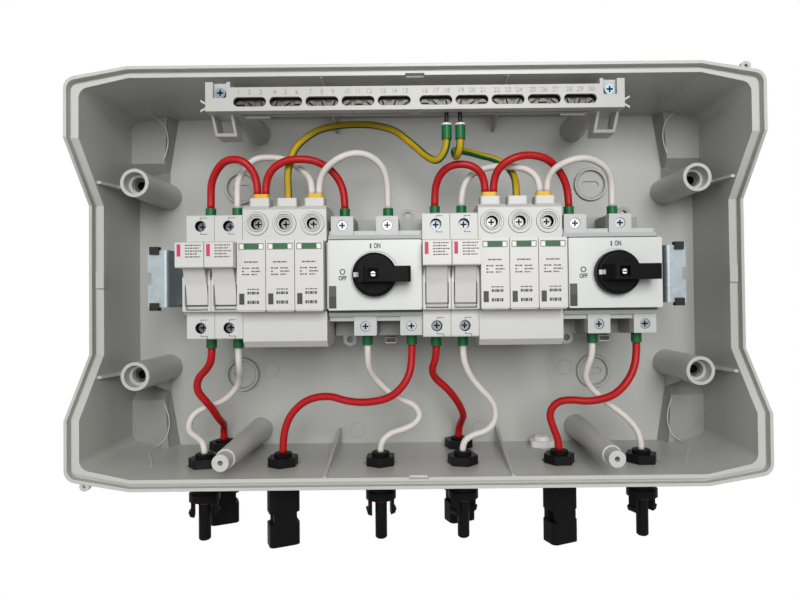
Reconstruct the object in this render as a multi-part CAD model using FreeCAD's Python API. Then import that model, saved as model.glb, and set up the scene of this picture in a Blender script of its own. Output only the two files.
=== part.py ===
import FreeCAD, Part
import math
import os

from FreeCAD import Vector

# Open solar combiner box: a wall-mounted plastic case with its cover off.
# X runs to the right, Z up and Y into the wall; the origin is the centre of the
# four wall fixings, on the wall itself. All sizes are in millimetres.

# How far cutters and joined features run past the faces that they meet, how far
# ribs run into the wall behind them, and the hair's breadth that keeps two faces apart
over = 1.0
rooted = 2.0
hair = 0.01

# Case shell
case_width = 448.0
case_height = 270.0
case_depth = 87.0
case_wall = 3.0
draft_side = 1.0
draft_top = 2.6
corner_drop = 7.0
corner_radius = 8.0
corner_run = 41.0
rim_side = 9.0
rim_top = 7.0
rim_depth = 9.0
lip_width = 2.0
groove_width = 2.4
groove_depth = 5.0
ledge_drop = 1.5
waist_dip = 30.0
waist_half = 51.0
waist_ramp = 39.0
waist_cut_in = 18.0
waist_tab = (5.5, 3.5, 11.5)
waist_tab_inset = 7.5
rim_notch = (12.0, 2.0, 4.0)
rim_notch_inset = 1.4
seal_ear_inset = 12.5
seal_ear_radius = 3.2
seal_ear_hole = 1.2
seal_ear_thick = 3.0

# Wall fixing tubes in the corners of the case
fixing_inset = 33.0
fixing_spacing_z = 131.2
fixing_tube_radius = 9.7
fixing_tube_length = 58.0
fixing_head_radius = 7.4
fixing_head_depth = 18.0
fixing_bore_radius = 5.0
fixing_hole_radius = 2.75
fixing_floor = 7.0
fixing_rib = 2.0
fixing_rib_tip = (3.5, 3.0)
fixing_rib_bend = (8.0, 16.0)
fixing_rib_rounds = (1.5, 6.0)
fixing_fin = (10.0, 26.0)

# Cover screw posts and other features moulded in the case
post_x = 121.0
post_inset = 21.0
post_base_radius = 9.0
post_top_radius = 6.2
post_tip_radius = 5.25
post_tip_length = 8.0
post_length = 97.0
post_hole_radius = 1.6
post_hole_depth = 22.0
gusset_x = 60.0
gusset_thick = 2.0
gusset_foot = 12.0
gusset_tip = (3.0, 0.6)
knockout_x = 135.0
knockout_z = 72.0
knockout_radius = 12.5
knockout_rim = 1.6
knockout_height = 2.4
knockout_slot = (13.0, 5.0, 1.2)
pocket_size = (22.0, 27.0, 12.0)
pocket_wall = 2.6
pocket_radius = 9.0

# Mounting rail, a 35 mm top-hat profile, and the folded brackets that carry it
rail_width = 35.0
rail_height = 7.5
rail_sheet = 1.0
rail_crown = 27.0
rail_bends = (0.4, 1.0)
rail_crown_bends = (0.6, 1.4)
rail_front = 43.0
rail_slot_pitch = 25.0
rail_slot_length = 15.0
rail_slot_width = 6.2
bracket_margin = 14.1
bracket_sheet = 1.5
bracket_bend = 1.5
bracket_flange = 12.5
bracket_front = 67.0
bracket_half = 19.1
bracket_foot_half = 27.0
bracket_foot_width = 12.0
bracket_flare = 12.0
bracket_window = 11.0
bracket_window_gap = 3.5
bracket_notch = (2.5, 4.0)
bracket_tab = 17.0
bracket_pad = 1.5
bracket_screw_z = 21.0
bracket_screw_gap = 0.2
rail_screw_gap = 0.5
clip_width = 6.0
clip_leg = 2.2
clip_reach = 3.0
clip_wall = 1.6
clip_offset = 1.5
m4_radius = 2.0
m4_head_radius = 3.6
m4_head_height = 2.4
m4_grip = 1.5
screw_tip_gap = 0.5
cross_shares = (0.62, 0.16, 0.5)

# Modular devices on the rail: two groups of the same four devices
first_left = -145.9
module_width = 17.8
fuse_modules = 2
device_gap = 0.2
shoulder_front = 87.0
device_back = 36.0
fit_gap = 0.3
rail_play = 0.2
rail_hook = (1.6, 2.2, 3.2)
rail_mouth = (5.0, 2.0)
rail_drop = 1.0

# Fuse holders for cylindrical fuses
fuse_half = 39.4
fuse_nose_half = 22.0
fuse_nose_front = 94.0
fuse_cheek = 1.9
fuse_sill = 1.0
fuse_slot_back = 70.0
fuse_skirt = (16.0, 9.0)
fuse_rounds = (1.0, 0.8)
fuse_grip = (0.6, 6.0, 4.0)
fuse_terminal_z = 32.3
terminal_hole_radius = 3.5
terminal_hole_depth = 8.0
terminal_screw_radius = 3.1
terminal_screw_drop = 4.5
terminal_shank_radius = 1.9
screw_head_height = 2.0
hinge_rise = 3.0
hinge_z = -18.5
hinge_end_radius = 2.2
hinge_pin_radius = 1.4
hinge_pin_reach = 1.0
hinge_clearance = 0.06
label_front = 106.0
label_low = 5.0
label_high = 20.5
label_round = 0.8
label_edge = 0.1
label_foot = 0.5
tongue_root = 100.0
tongue_tip = 91.8
tongue_waist = (94.5, -5.0)
tongue_round = 14.0
tongue_share = 0.4
fuse_axis = 84.0
fuse_radius = 5.1
fuse_length = 38.0
fuse_cap = 10.0
fuse_cap_step = 0.25
fuse_seat_gap = 0.02
fuse_end_gap = 0.05
carrier_side_half = 9.0
carrier_side_back = 79.5
carrier_shoulder = (3.5, 2.0)
carrier_knee = (1.4, 3.2)
carrier_rounds = (0.5, 1.0, 1.5)
carrier_top_z = 19.6
carrier_channel = (0.96, 1.4)
jaw_low = 12.0
jaw_high = 18.0
jaw_front = 86.0
jaw_sheet = 0.7

# Surge protectors with three plug-in cartridges
surge_modules = 3
surge_half = 45.0
surge_shoulder_top = 42.5
surge_shoulder_bottom = -41.0
surge_back = 32.0
surge_skirt = (24.0, 12.0)
surge_chamfer_top = 2.5
surge_chamfer_bottom = 4.0
surge_seam = (2.4, 6.0, 1.4)
surge_bay_floor = 60.0
surge_terminal_z = 33.5
surge_ring_radius = 7.3
surge_ring_width = 1.2
surge_ring_height = 0.6
surge_ring_sink = 0.6
surge_hole_radius = 3.8
cartridge_front = 100.0
cartridge_half = 22.0
cartridge_corner = 1.2
cartridge_side_gap = 0.2
cartridge_seat_gap = 0.02
cartridge_chin = 0.8
cartridge_window = (14.4, 3.2, 0.4)
cartridge_window_z = 18.0
blade_size = (1.2, 7.0, 9.0)
blade_z = 13.0
collar_width = 13.0
collar_depth = 12.0
collar_height = 6.0
collar_round = 1.5
spout_front = 80.0
spout_pocket = 3.0

# Rotary isolators
switch_width = 59.6
switch_gap = 0.7
switch_face_margins = (1.1, 0.5)
switch_face_half = 21.8
switch_face_front = 95.0
switch_face_thick = 2.4
switch_face_corner = 1.0
switch_step_half = 29.0
switch_step_front = 81.0
switch_waist_half = 26.0
switch_waist_front = 84.0
switch_tower_half = 38.3
switch_border = (1.2, 1.4, 2.0)
switch_tower_width = 14.4
switch_tower_inset = 1.4
switch_tower_trims = (0.9, 0.4)
switch_tower_root = 4.0
switch_tower_round = 0.6
switch_tower_front = 83.0
switch_tower_back = 52.0
switch_screw_z = 32.4
switch_screw_drop = 0.6
switch_screw_shank = (1.0, 0.4)
switch_hole_depth = 3.0
switch_bore_depth = 6.0
switch_floor_front = 52.0
switch_floor_half = 40.0
switch_ear_radius = 4.6
switch_ear_hole = 2.2
switch_ear_insets = (9.7, 9.3)
switch_ear_z = 42.6
switch_ear_thick = 4.0
spindle_radius = 3.0
spindle_bore_gap = 0.06
spindle_face_gap = 1.0
spindle_press = 0.02
spindle_back = 70.0
spindle_screw = (2.1, 2.0, 0.7, 0.8)
handle_shift = 0.4
handle_radius = 13.6
handle_seat = (1.2, 0.5)
handle_disc_front = 102.5
handle_edge = 2.2
handle_front = 112.0
handle_lever_half = 4.65
handle_lever_reach = 22.4
handle_lever_tail = (11.4, 5.4)
handle_lever_rounds = (2.2, 2.6)
handle_under = (4.0, 1.0)
handle_recess_half = 3.2
handle_clear = 0.3
handle_recess_depth = 3.0
latch_shift = 7.8
latch_width = 7.5
latch_low = -46.0
latch_high = -19.4
latch_thick = 4.0
latch_gap = 0.02
latch_foot = (6.0, 4.0, 2.0)
latch_nose = (1.6, 1.4)
latch_eye = (1.6, 4.6, 1.2)

# Earth terminal bar
earth_half = 130.0
earth_front = 97.0
earth_drop = 11.7
earth_height = 14.8
earth_end_height = 18.2
earth_end_width = 15.4
earth_plate = 2.0
earth_depth = 12.0
earth_ledge = 1.4
earth_hook = 2.0
earth_slots = 10
earth_slot_pitch = 22.4
earth_slot_length = 20.4
earth_slot_height = 5.9
earth_slot_rise = 5.7
earth_centre_gap = 12.9
earth_slit_insets = (1.0, 2.7)
earth_ways = 3
earth_way_pitch = 6.9
earth_screw_radius = 2.6
earth_screw_height = 2.4
earth_screw_shank = (1.6, 1.5)
earth_screw_slot = (0.9, 0.8)
earth_screw_drop = 1.0
earth_screw_turn = 37.0
earth_bar_front = 91.0
earth_bar_gap = 0.1
earth_bar_height = 11.0
earth_wire_hole = 3.0
earth_wire_depth = 6.0
earth_collar_drop = 6.8
earth_collar_length = 10.0
earth_collar_radius = 3.2
earth_sleeve_radius = 1.3
earth_sleeve_reach = 1.4
earth_leg_width = 14.0
earth_leg_inset = 1.0
earth_leg_drop = 11.3
earth_leg_wall = 1.7
earth_leg_back = 66.5
earth_leg_front = 80.6
earth_leg_slopes = (7.0, 8.0)
earth_clip_x = 100.0
earth_clip = (8.0, 3.0, 1.6)
earth_recess = (4.2, 3.4, 3.0)
earth_prong = (3.4, 1.6, 2.6, 4.0)
earth_prong_rise = 3.7
earth_carrier_screw = (3.2, 2.0, 16.0)

# Panel connectors through the bottom wall, wire ferrules and the vent plug
entry_front = 56.0
entry_back = 15.0
socket_x = (-146.0, -92.5, 30.0, 95.7)
plug_x = (-146.0, -26.0, 30.0, 151.7)
socket_turn = 24.0
plug_turns = (14.0, 10.0, 40.0, 25.0)
entry_radius = 6.0
entry_hole_gap = 0.2
entry_stub_gap = 0.1
spot_radius = 11.6
spot_depths = (12.0, 3.5)
nut_flats = 18.5
nut_height = 6.0
nut_round = 1.2
nut_gap = 0.02
nut_turns = (12.0, 29.0, 46.0, 63.0)
stub_rise = 16.0
flange_radius = 10.2
socket_flange = 6.0
socket_width = 20.4
socket_thick = 14.6
socket_round = 3.5
socket_neck_width = 15.4
socket_neck = (23.0, 30.5)
socket_slot = (2.4, 3.4, 1.0, 6.0)
socket_length = 45.0
socket_bore = 4.3
socket_bore_depth = 22.0
plug_body_length = 15.0
plug_body_radius = 8.6
plug_collar = 5.0
plug_pin_radius = 4.0
plug_pin_chamfer = 0.9
plug_bore = 1.7
plug_bore_floor = 2.0
plug_length = 42.0
plug_arm_out = 8.6
plug_arm_thick = 2.2
plug_arm_width = 7.0
plug_arm_length = 26.0
plug_barb = (1.6, 0.6, 5.0, 4.0, 1.0)
seal_seat_radius = 4.4
seal_ring_radius = 5.2
seal_ring_height = 2.2
vent_x = 92.4
vent_nut_radius = 9.4
vent_nut_height = 4.5
vent_dome = 6.5
vent_dome_taper = 1.5
vent_dome_height = 3.0
vent_flat = 0.8
vent_flange_height = 3.5
ferrule_radius = 3.4
ferrule_length = 7.0
ferrule_seat = 2.5
ferrule_sleeve_radius = 1.6
ferrule_sleeve_length = 8.0
ferrule_sleeve_shown = 4.0
ferrule_play = 0.2
twin_width = 10.4
twin_depth = 5.6
twin_height = 3.2
twin_round = 2.4
wire_entry_front = 67.0
red_wire = 5.0
white_wire = 4.4
earth_wire = 4.8
wire_gap = 0.4
wire_lead = 8.0
entry_lead = 6.0
earth_bar_leads = (6.0, 4.5)
bend_share = 0.45

# Places worked out from the sizes above
straight_half = case_width / 2 - corner_run
fixing_spacing_x = case_width - 2 * fixing_inset
post_z = case_height / 2 - post_inset
group_width = (fuse_modules + surge_modules) * module_width
group_pitch = group_width + switch_gap + switch_width + device_gap / 2
group_left = (first_left, first_left + group_pitch)
bracket_web_x = group_left[1] + group_pitch + bracket_margin
hinge_front = shoulder_front + hinge_rise
switch_left = first_left + group_width + switch_gap
switch_right = switch_left + switch_width
first_tower = switch_left + switch_tower_inset + switch_tower_width / 2
last_tower = switch_right - switch_tower_width / 2
switch_tower_up = (first_tower, first_tower + switch_width / 2 - switch_tower_trims[0])
switch_tower_down = (last_tower - switch_width / 2 + switch_tower_trims[1], last_tower)
switch_ears = ((switch_right - switch_ear_insets[1], switch_ear_z),
               (switch_left + switch_ear_insets[0], -switch_ear_z))
handle_x = (switch_left + switch_right) / 2 + handle_shift
latch_x = (switch_left + switch_right) / 2 + latch_shift
earth_low = post_z - earth_drop
earth_high = earth_low + earth_height
earth_end_high = earth_low + earth_end_height
earth_slot_z = earth_low + earth_slot_rise
earth_screw_z = earth_slot_z - earth_screw_drop
earth_collar_top = earth_low - earth_collar_drop
earth_leg_low = earth_low - earth_leg_drop
stub_top = case_height / 2 - stub_rise
plug_body_low = case_height / 2 + plug_body_length
plug_end = case_height / 2 + plug_length
plug_arm_low = case_height / 2 + plug_arm_length
socket_end = case_height / 2 + socket_length
socket_spots = list(zip(socket_x, (entry_back, entry_front, entry_back, entry_front)))
plug_spots = [(x, entry_front) for x in plug_x]

# Points that each wire passes between the straight leads at its two ends
upper_red_bends = (
    ((-136, -69, 64), (-131, -72, 72), (-124, -76, 77), (-114, -78, 77), (-107, -76, 71)),
    ((-94, -76, 71), (-85, -77, 76), (-75, -77, 77), (-65, -75, 76), (-56, -71, 71), (-50, -68, 63)),
    ((14, -70, 64), (20, -75, 71), (30, -77, 73), (40, -77, 70)),
    ((55, -78, 71), (64, -80, 76), (74, -78, 78), (85, -77, 76), (93, -72, 71), (99, -69, 63)))
upper_white_bends = (
    ((-120, -64, 65), (-117, -60, 74), (-110, -58, 82), (-99, -57, 83), (-89, -59, 81), (-80, -62, 75),
     (-73, -68, 69)),
    ((-59, -78, 70), (-50, -82, 76), (-40, -80, 80), (-30, -77, 79), (-22, -73, 73), (-19, -69, 64)),
    ((34, -65, 65), (42, -65, 71), (53, -67, 73), (64, -70, 72), (74, -72, 70)),
    ((90, -79, 69), (99, -82, 73), (108, -81, 75), (117, -77, 74), (125, -74, 70), (130, -69, 63)))
earth_bends = (
    ((-85, -71, 66), (-84, -69, 77), (-80, -68, 87), (-73, -66, 94), (-65, -63, 100), (-54, -61, 103),
     (-44, -60, 104), (-33, -60, 104), (-23, -62, 102), (-13, -65, 98), (-6, -69, 91), (1, -74, 84),
     (7, -79, 77), (14, -85, 72)),
    ((66, -69, 64), (65, -62, 70), (62, -57, 76), (54, -55, 81), (45, -55, 83), (36, -58, 85),
     (28, -66, 84), (25, -74, 82), (26, -80, 76), (27, -86, 77)))
lower_red_bends = (
    ((-142, -62, -61), (-149, -59, -67), (-151, -57, -76), (-146, -53, -84), (-143, -47, -91),
     (-142, -40, -98), (-142, -31, -103), (-144, -21, -106)),
    ((-5, -69, -64), (-10, -70, -73), (-18, -69, -80), (-28, -67, -83), (-39, -65, -84),
     (-49, -63, -83), (-59, -61, -80), (-70, -59, -81), (-79, -57, -85), (-87, -56, -93),
     (-91, -56, -102)),
    ((9, -61, -63), (12, -55, -70), (20, -51, -77), (26, -45, -85), (30, -39, -92), (33, -31, -100),
     (32, -22, -105)),
    ((143, -69, -63), (138, -71, -71), (131, -70, -79), (123, -67, -83), (113, -64, -85),
     (103, -61, -84), (94, -58, -86), (89, -56, -94), (92, -56, -104)))
lower_white_bends = (
    ((-120, -62, -62), (-122, -55, -67), (-125, -49, -74), (-131, -46, -81), (-138, -44, -86),
     (-147, -42, -89), (-155, -41, -92), (-161, -43, -98), (-160, -48, -106), (-152, -52, -109)),
    ((-33, -63, -61), (-30, -57, -68), (-25, -54, -74), (-19, -52, -80), (-11, -50, -85),
     (-3, -49, -88), (2, -49, -96), (-3, -50, -102), (-11, -52, -105), (-20, -54, -107)),
    ((33, -65, -63), (37, -62, -70), (43, -61, -77), (49, -59, -83), (53, -57, -91), (52, -56, -100),
     (46, -56, -106), (37, -56, -108)),
    ((114, -64, -61), (113, -60, -69), (117, -57, -76), (123, -56, -82), (130, -54, -88),
     (137, -54, -93), (143, -55, -98), (149, -55, -105)))


def box(x0, x1, y0, y1, z0, z1):
    size = (abs(x1 - x0), abs(y1 - y0), abs(z1 - z0))
    return Part.makeBox(*size, Vector(min(x0, x1), min(y0, y1), min(z0, z1)))


def rod_y(x, z, y0, y1, radius):
    return Part.makeCylinder(radius, abs(y1 - y0), Vector(x, min(y0, y1), z), Vector(0, 1, 0))


def rod_z(x, y, z0, z1, radius):
    return Part.makeCylinder(radius, abs(z1 - z0), Vector(x, y, min(z0, z1)), Vector(0, 0, 1))


def rod_x(y, z, x0, x1, radius):
    return Part.makeCylinder(radius, abs(x1 - x0), Vector(min(x0, x1), y, z), Vector(1, 0, 0))


def arc_at(corner, before, after, radius):
    """Start, middle and end of the arc that rounds one corner."""
    to_before = (before - corner).normalize()
    to_after = (after - corner).normalize()
    half = to_before.getAngle(to_after) / 2.0
    along = radius / math.tan(half)
    bisector = (to_before + to_after).normalize()
    middle = corner + bisector * (radius / math.sin(half) - radius)
    return corner + to_before * along, middle, corner + to_after * along


def outline(points, radii=0.0):
    """A closed wire through the points, each corner rounded by its radius."""
    count = len(points)
    if not hasattr(radii, "__len__"):
        radii = [radii] * count
    edges = []
    ends = []
    for index, corner in enumerate(points):
        if radii[index] > 0:
            start, middle, end = arc_at(corner, points[index - 1], points[(index + 1) % count], radii[index])
            ends.append((start, end, Part.Arc(start, middle, end).toShape()))
        else:
            ends.append((corner, corner, None))
    for index in range(count):
        start, end, arc = ends[index]
        if arc:
            edges.append(arc)
        following = ends[(index + 1) % count][0]
        if end.distanceToPoint(following) > 1e-6:
            edges.append(Part.LineSegment(end, following).toShape())
    return Part.Wire(edges)


def prism_y(points, y0, y1, radii=0.0):
    wire = outline([Vector(x, y0, z) for x, z in points], radii)
    return Part.Face(wire).extrude(Vector(0, y1 - y0, 0))


def prism_x(points, x0, x1, radii=0.0):
    wire = outline([Vector(x0, y, z) for y, z in points], radii)
    return Part.Face(wire).extrude(Vector(x1 - x0, 0, 0))


def prism_z(points, z0, z1, radii=0.0):
    wire = outline([Vector(x, y, z0) for x, y in points], radii)
    return Part.Face(wire).extrude(Vector(0, 0, z1 - z0))


def rectangle(x0, x1, z0, z1):
    return [(x0, z0), (x1, z0), (x1, z1), (x0, z1)]


def hexagon(x, y, flats):
    reach = flats / math.sqrt(3.0)
    return [(x + reach * math.cos(math.radians(60 * k)), y + reach * math.sin(math.radians(60 * k)))
            for k in range(6)]


def mirror_x(shape):
    return shape.mirror(Vector(0, 0, 0), Vector(1, 0, 0))


def mirror_z(shape):
    return shape.mirror(Vector(0, 0, 0), Vector(0, 0, 1))


def four_corners(shape):
    right = mirror_x(shape)
    return [shape, right, mirror_z(shape), mirror_z(right)]


def clean(shape):
    return shape.removeSplitter()


def save(name, shape):
    shape.exportStep(os.path.join("parts", name + ".step"))


def group(shapes):
    return Part.makeCompound(shapes)


# Case
def case_outline(half_width, half_height, y, radius):
    """The case's outline: straight edges that fall a little towards rounded corners."""
    side = half_height - corner_drop
    points = [(-half_width, -side), (-straight_half, -half_height), (straight_half, -half_height),
              (half_width, -side), (half_width, side), (straight_half, half_height),
              (-straight_half, half_height), (-half_width, side)]
    rounds = [radius, 0, 0, radius, radius, 0, 0, radius]
    return outline([Vector(x, y, z) for x, z in points], rounds)


def case_block(inset_x, inset_z, y0, y1, radius):
    wire = case_outline(case_width / 2 - inset_x, case_height / 2 - inset_z, y0, radius)
    return Part.Face(wire).extrude(Vector(0, y1 - y0, 0))


def case_loft(inset_x, inset_z, back):
    """A drafted block between the rim's plane and the plane of the back."""
    rim = case_outline(case_width / 2 - inset_x, case_height / 2 - inset_z, -case_depth, corner_radius - 1)
    rear = case_outline(case_width / 2 - inset_x - draft_side, case_height / 2 - inset_z - draft_top,
                        back, corner_radius - 1)
    return Part.makeLoft([rim, rear], True, True)


def waist_dips(depth):
    """What lies in front of the rim at the two waists, taken further back by a depth."""
    front = -case_depth - rim_depth
    slope = waist_ramp / waist_dip
    wide = waist_half + slope * (waist_dip + rim_depth)
    points = [(front + depth, -wide), (-case_depth + waist_dip + depth, -waist_half),
              (-case_depth + waist_dip + depth, waist_half), (front + depth, wide)]
    inner = case_width / 2 - waist_cut_in
    left = prism_x(points, -case_width / 2 - over, -inner)
    return left.fuse(mirror_x(left))


def behind_rim(depth):
    """The layer of that depth behind the rim, which follows the dips at the waists."""
    slab = box(-case_width, case_width, -case_depth - rim_depth, -case_depth + depth, -case_height,
               case_height)
    return slab.fuse(waist_dips(depth))


def inner_half_height(y):
    """Half the height inside the case at a distance y before the wall."""
    share = (y - case_wall) / (case_depth - case_wall)
    return case_height / 2 - rim_top - draft_top * (1 - share)


def case_body():
    body = case_loft(rim_side - case_wall, rim_top - case_wall, 0)
    band = case_block(0, 0, -case_depth, -case_depth + waist_dip + rim_depth, corner_radius)
    band = band.common(behind_rim(rim_depth))
    cavity = case_loft(rim_side, rim_top, -case_wall)
    body = body.fuse(band).cut(cavity)
    inside_lip = case_block(lip_width, lip_width, -case_depth - rim_depth, 0, corner_radius - lip_width)
    inside_groove = case_block(lip_width + groove_width, lip_width + groove_width, -case_depth - rim_depth, 0,
                               corner_radius - lip_width - groove_width)
    ledge = inside_lip.common(behind_rim(ledge_drop))
    groove = inside_lip.cut(inside_groove).common(behind_rim(groove_depth))
    return body.cut(waist_dips(0)).cut(ledge).cut(groove)


def fixing_tube():
    """Top left fixing tube with its ribs, before its bore is cut."""
    x = -fixing_spacing_x / 2
    z = fixing_spacing_z / 2
    front = -case_wall - fixing_tube_length
    tube = rod_y(x, z, front, -over, fixing_tube_radius)
    wall_x = -case_width / 2 + rim_side - over
    tube_x = x - fixing_tube_radius + over
    tip_width, tip_rise = fixing_rib_tip
    bend_width, bend_drop = fixing_rib_bend
    tip = front - tip_rise
    side = [(tube_x, -rooted), (wall_x, -rooted), (wall_x, tip), (wall_x + tip_width, tip),
            (wall_x + bend_width, front + bend_drop), (tube_x, front + bend_drop + fixing_rib)]
    half = fixing_rib / 2
    rib = prism_z(side, z - half, z + half, [0, 0, 0, fixing_rib_rounds[0], fixing_rib_rounds[1], 0])
    fin_rise, fin_drop = fixing_fin
    root = z + fixing_tube_radius
    upright = [(-rooted, root - over), (-rooted, root + fin_rise), (front + fin_drop, root - over)]
    fin = prism_x(upright, x - half, x + half)
    return tube.fuse([rib, fin])


def fixing_bore():
    x = -fixing_spacing_x / 2
    z = fixing_spacing_z / 2
    front = -case_wall - fixing_tube_length
    mouth = rod_y(x, z, front - over, front + fixing_head_depth, fixing_head_radius)
    middle = rod_y(x, z, front, -fixing_floor, fixing_bore_radius)
    return mouth.fuse([middle, rod_y(x, z, front, over, fixing_hole_radius)])


def screw_post(length):
    """Top left screw post: a tapered column with a thinner tip and a blind hole."""
    root = Vector(-post_x, -over, post_z)
    cone = Part.makeCone(post_base_radius, post_top_radius, length - post_tip_length, root, Vector(0, -1, 0))
    return cone.fuse(rod_y(-post_x, post_z, -case_wall - length, -length / 2, post_tip_radius))


def post_bore(length):
    front = -case_wall - length
    return rod_y(-post_x, post_z, front - over, front + post_hole_depth, post_hole_radius)


def earth_post_length():
    return earth_front - earth_depth - case_wall


def gusset():
    """Top left gusset rib, from nothing at the rim to its full height at the back."""
    rim = case_height / 2 - rim_top
    front = -case_depth + gusset_tip[0]
    points = [(front, rim - gusset_tip[1]), (-rooted, rim - draft_top - gusset_foot),
              (-rooted, rim - draft_top + over), (front, rim + over)]
    return prism_x(points, -gusset_x - gusset_thick / 2, -gusset_x + gusset_thick / 2)


def knockout():
    front = -case_wall - knockout_height
    ring = rod_y(-knockout_x, knockout_z, front, -over, knockout_radius)
    return ring.cut(rod_y(-knockout_x, knockout_z, front - over, -over, knockout_radius - knockout_rim))


def knockout_groove():
    length, width, depth = knockout_slot
    shape = rectangle(-knockout_x - length / 2, -knockout_x + length / 2,
                      knockout_z - width / 2, knockout_z + width / 2)
    return prism_y(shape, -case_wall - over, -case_wall + depth, width / 2 - hair)


def pocket():
    """Raised block in the top left back corner, over a recess in the wall side."""
    right = -case_width / 2 + rim_side + pocket_size[0]
    low = case_height / 2 - rim_top - draft_top - pocket_size[1]
    shape = rectangle(-case_width / 2 + rim_side - over, right, low, case_height / 2 - rim_top - corner_drop)
    return prism_y(shape, -case_wall - pocket_size[2], -over, [0, pocket_radius, 0, 0])


def pocket_recess():
    left = -case_width / 2 + rim_side + pocket_wall
    right = -case_width / 2 + rim_side + pocket_size[0] - pocket_wall
    low = case_height / 2 - rim_top - draft_top - pocket_size[1] + pocket_wall
    high = case_height / 2 - rim_top - corner_drop - draft_top
    return prism_y(rectangle(left, right, low, high), -case_wall - pocket_size[2] + pocket_wall, over,
                   [0, pocket_radius - pocket_wall, 0, 0])


def bracket_pads():
    """Raised pads on the back wall under the feet of one rail bracket."""
    outer = bracket_web_x + bracket_foot_width
    top = box(-outer, -bracket_web_x, -case_wall - bracket_pad, -over, 0, bracket_foot_half)
    return top.fuse(mirror_z(top))


def waist_tabs():
    width, rise, length = waist_tab
    x = case_width / 2 - waist_tab_inset
    front = -case_depth + waist_dip - over / 2
    tab = box(-x - width / 2, -x + width / 2, front, front + rise, -length / 2, length / 2)
    return tab.common(case_block(lip_width + groove_width, 0, -case_depth, 0, over))


def seal_ear(sign):
    """A small lug with a hole for a lead seal, at one corner of the rim."""
    z = sign * (case_height / 2 - corner_drop / 2)
    x = sign * (case_width / 2 - seal_ear_inset)
    front = -case_depth + over
    back = front + seal_ear_thick
    ear = rod_y(x, z, front, back, seal_ear_radius)
    return ear.cut(rod_y(x, z, front - over, back + over, seal_ear_hole))


def rim_notches():
    length, height, depth = rim_notch
    z = case_height / 2 - lip_width - groove_width - rim_notch_inset
    top = box(-length / 2, length / 2, -case_depth - over, -case_depth + ledge_drop + depth, z, z - height)
    return top.fuse(mirror_z(top))


def entry_faces(y):
    """Flat inner and outer faces, spotted level in the drafted bottom wall round one entry."""
    inner = -inner_half_height(y + spot_radius)
    outer = -inner_half_height(y - spot_radius) - case_wall
    return inner, outer


def entry_cuts():
    cuts = []
    spots = list(socket_spots) + list(plug_spots) + [(vent_x, entry_back)]
    for x, y in spots:
        inner, outer = entry_faces(y)
        cuts.append(rod_z(x, -y, outer - over, inner + over, entry_radius + entry_hole_gap))
        cuts.append(rod_z(x, -y, inner, inner + spot_depths[0], spot_radius))
        cuts.append(rod_z(x, -y, outer - spot_depths[1], outer, spot_radius))
    return cuts


def make_case():
    solid = case_body()
    adds = []
    for feature in (fixing_tube(), gusset(), knockout(), pocket()):
        adds += four_corners(feature)
    lower_post = mirror_z(screw_post(post_length))
    upper_post = screw_post(earth_post_length())
    adds += [lower_post, mirror_x(lower_post), upper_post, mirror_x(upper_post)]
    pads = bracket_pads()
    tabs = waist_tabs()
    adds += [pads, mirror_x(pads), tabs, mirror_x(tabs), seal_ear(1), seal_ear(-1)]
    cuts = []
    for feature in (fixing_bore(), knockout_groove(), pocket_recess()):
        cuts += four_corners(feature)
    lower_bore = mirror_z(post_bore(post_length))
    upper_bore = post_bore(earth_post_length())
    cuts += [lower_bore, mirror_x(lower_bore), upper_bore, mirror_x(upper_bore), rim_notches()]
    for x, z in bracket_screw_spots():
        cuts.append(rod_y(x, z, -case_wall - bracket_pad - over, bracket_screw_end() + screw_tip_gap,
                          m4_radius))
    cuts += entry_cuts()
    return solid.fuse(adds).cut(cuts)


# Rail and its brackets
def bracket_screw_end():
    """Y of the tips of the brackets' screws, which stop inside the wall of the case."""
    return -case_wall + m4_grip


def make_rail():
    half = rail_width / 2
    crown = rail_crown / 2
    front = -rail_front
    back = front + rail_height
    sheet = rail_sheet
    points = [(front, -half), (front, -crown + sheet), (back - sheet, -crown + sheet),
              (back - sheet, crown - sheet), (front, crown - sheet), (front, half),
              (front + sheet, half), (front + sheet, crown), (back, crown), (back, -crown),
              (front + sheet, -crown), (front + sheet, -half)]
    length = bracket_web_x - bracket_sheet - fit_gap
    inner_bend, outer_bend = rail_bends
    inner_crown, outer_crown = rail_crown_bends
    rail = prism_x(points, -length, length, [0, outer_bend, inner_crown, inner_crown, outer_bend, 0,
                                             0, inner_bend, outer_crown, outer_crown, inner_bend, 0])
    cuts = []
    count = int(length / rail_slot_pitch)
    for k in range(-count, count + 1):
        x = k * rail_slot_pitch
        shape = rectangle(x - rail_slot_length / 2, x + rail_slot_length / 2,
                          -rail_slot_width / 2, rail_slot_width / 2)
        cuts.append(prism_y(shape, back - 2 * sheet, back + sheet, rail_slot_width / 2 - hair))
    return rail.cut(cuts)


def rail_screw_x():
    """The rail's fixing screws go through the outermost slots, over the bracket's tabs."""
    length = bracket_web_x - bracket_sheet - fit_gap
    return int(length / rail_slot_pitch) * rail_slot_pitch + rail_slot_length / 2 - m4_radius - rail_screw_gap


def bracket_screw_spots():
    x = bracket_web_x + bracket_foot_width / 2 + rail_screw_gap
    return [(sx * x, sz * bracket_screw_z) for sx in (-1, 1) for sz in (-1, 1)]


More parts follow.
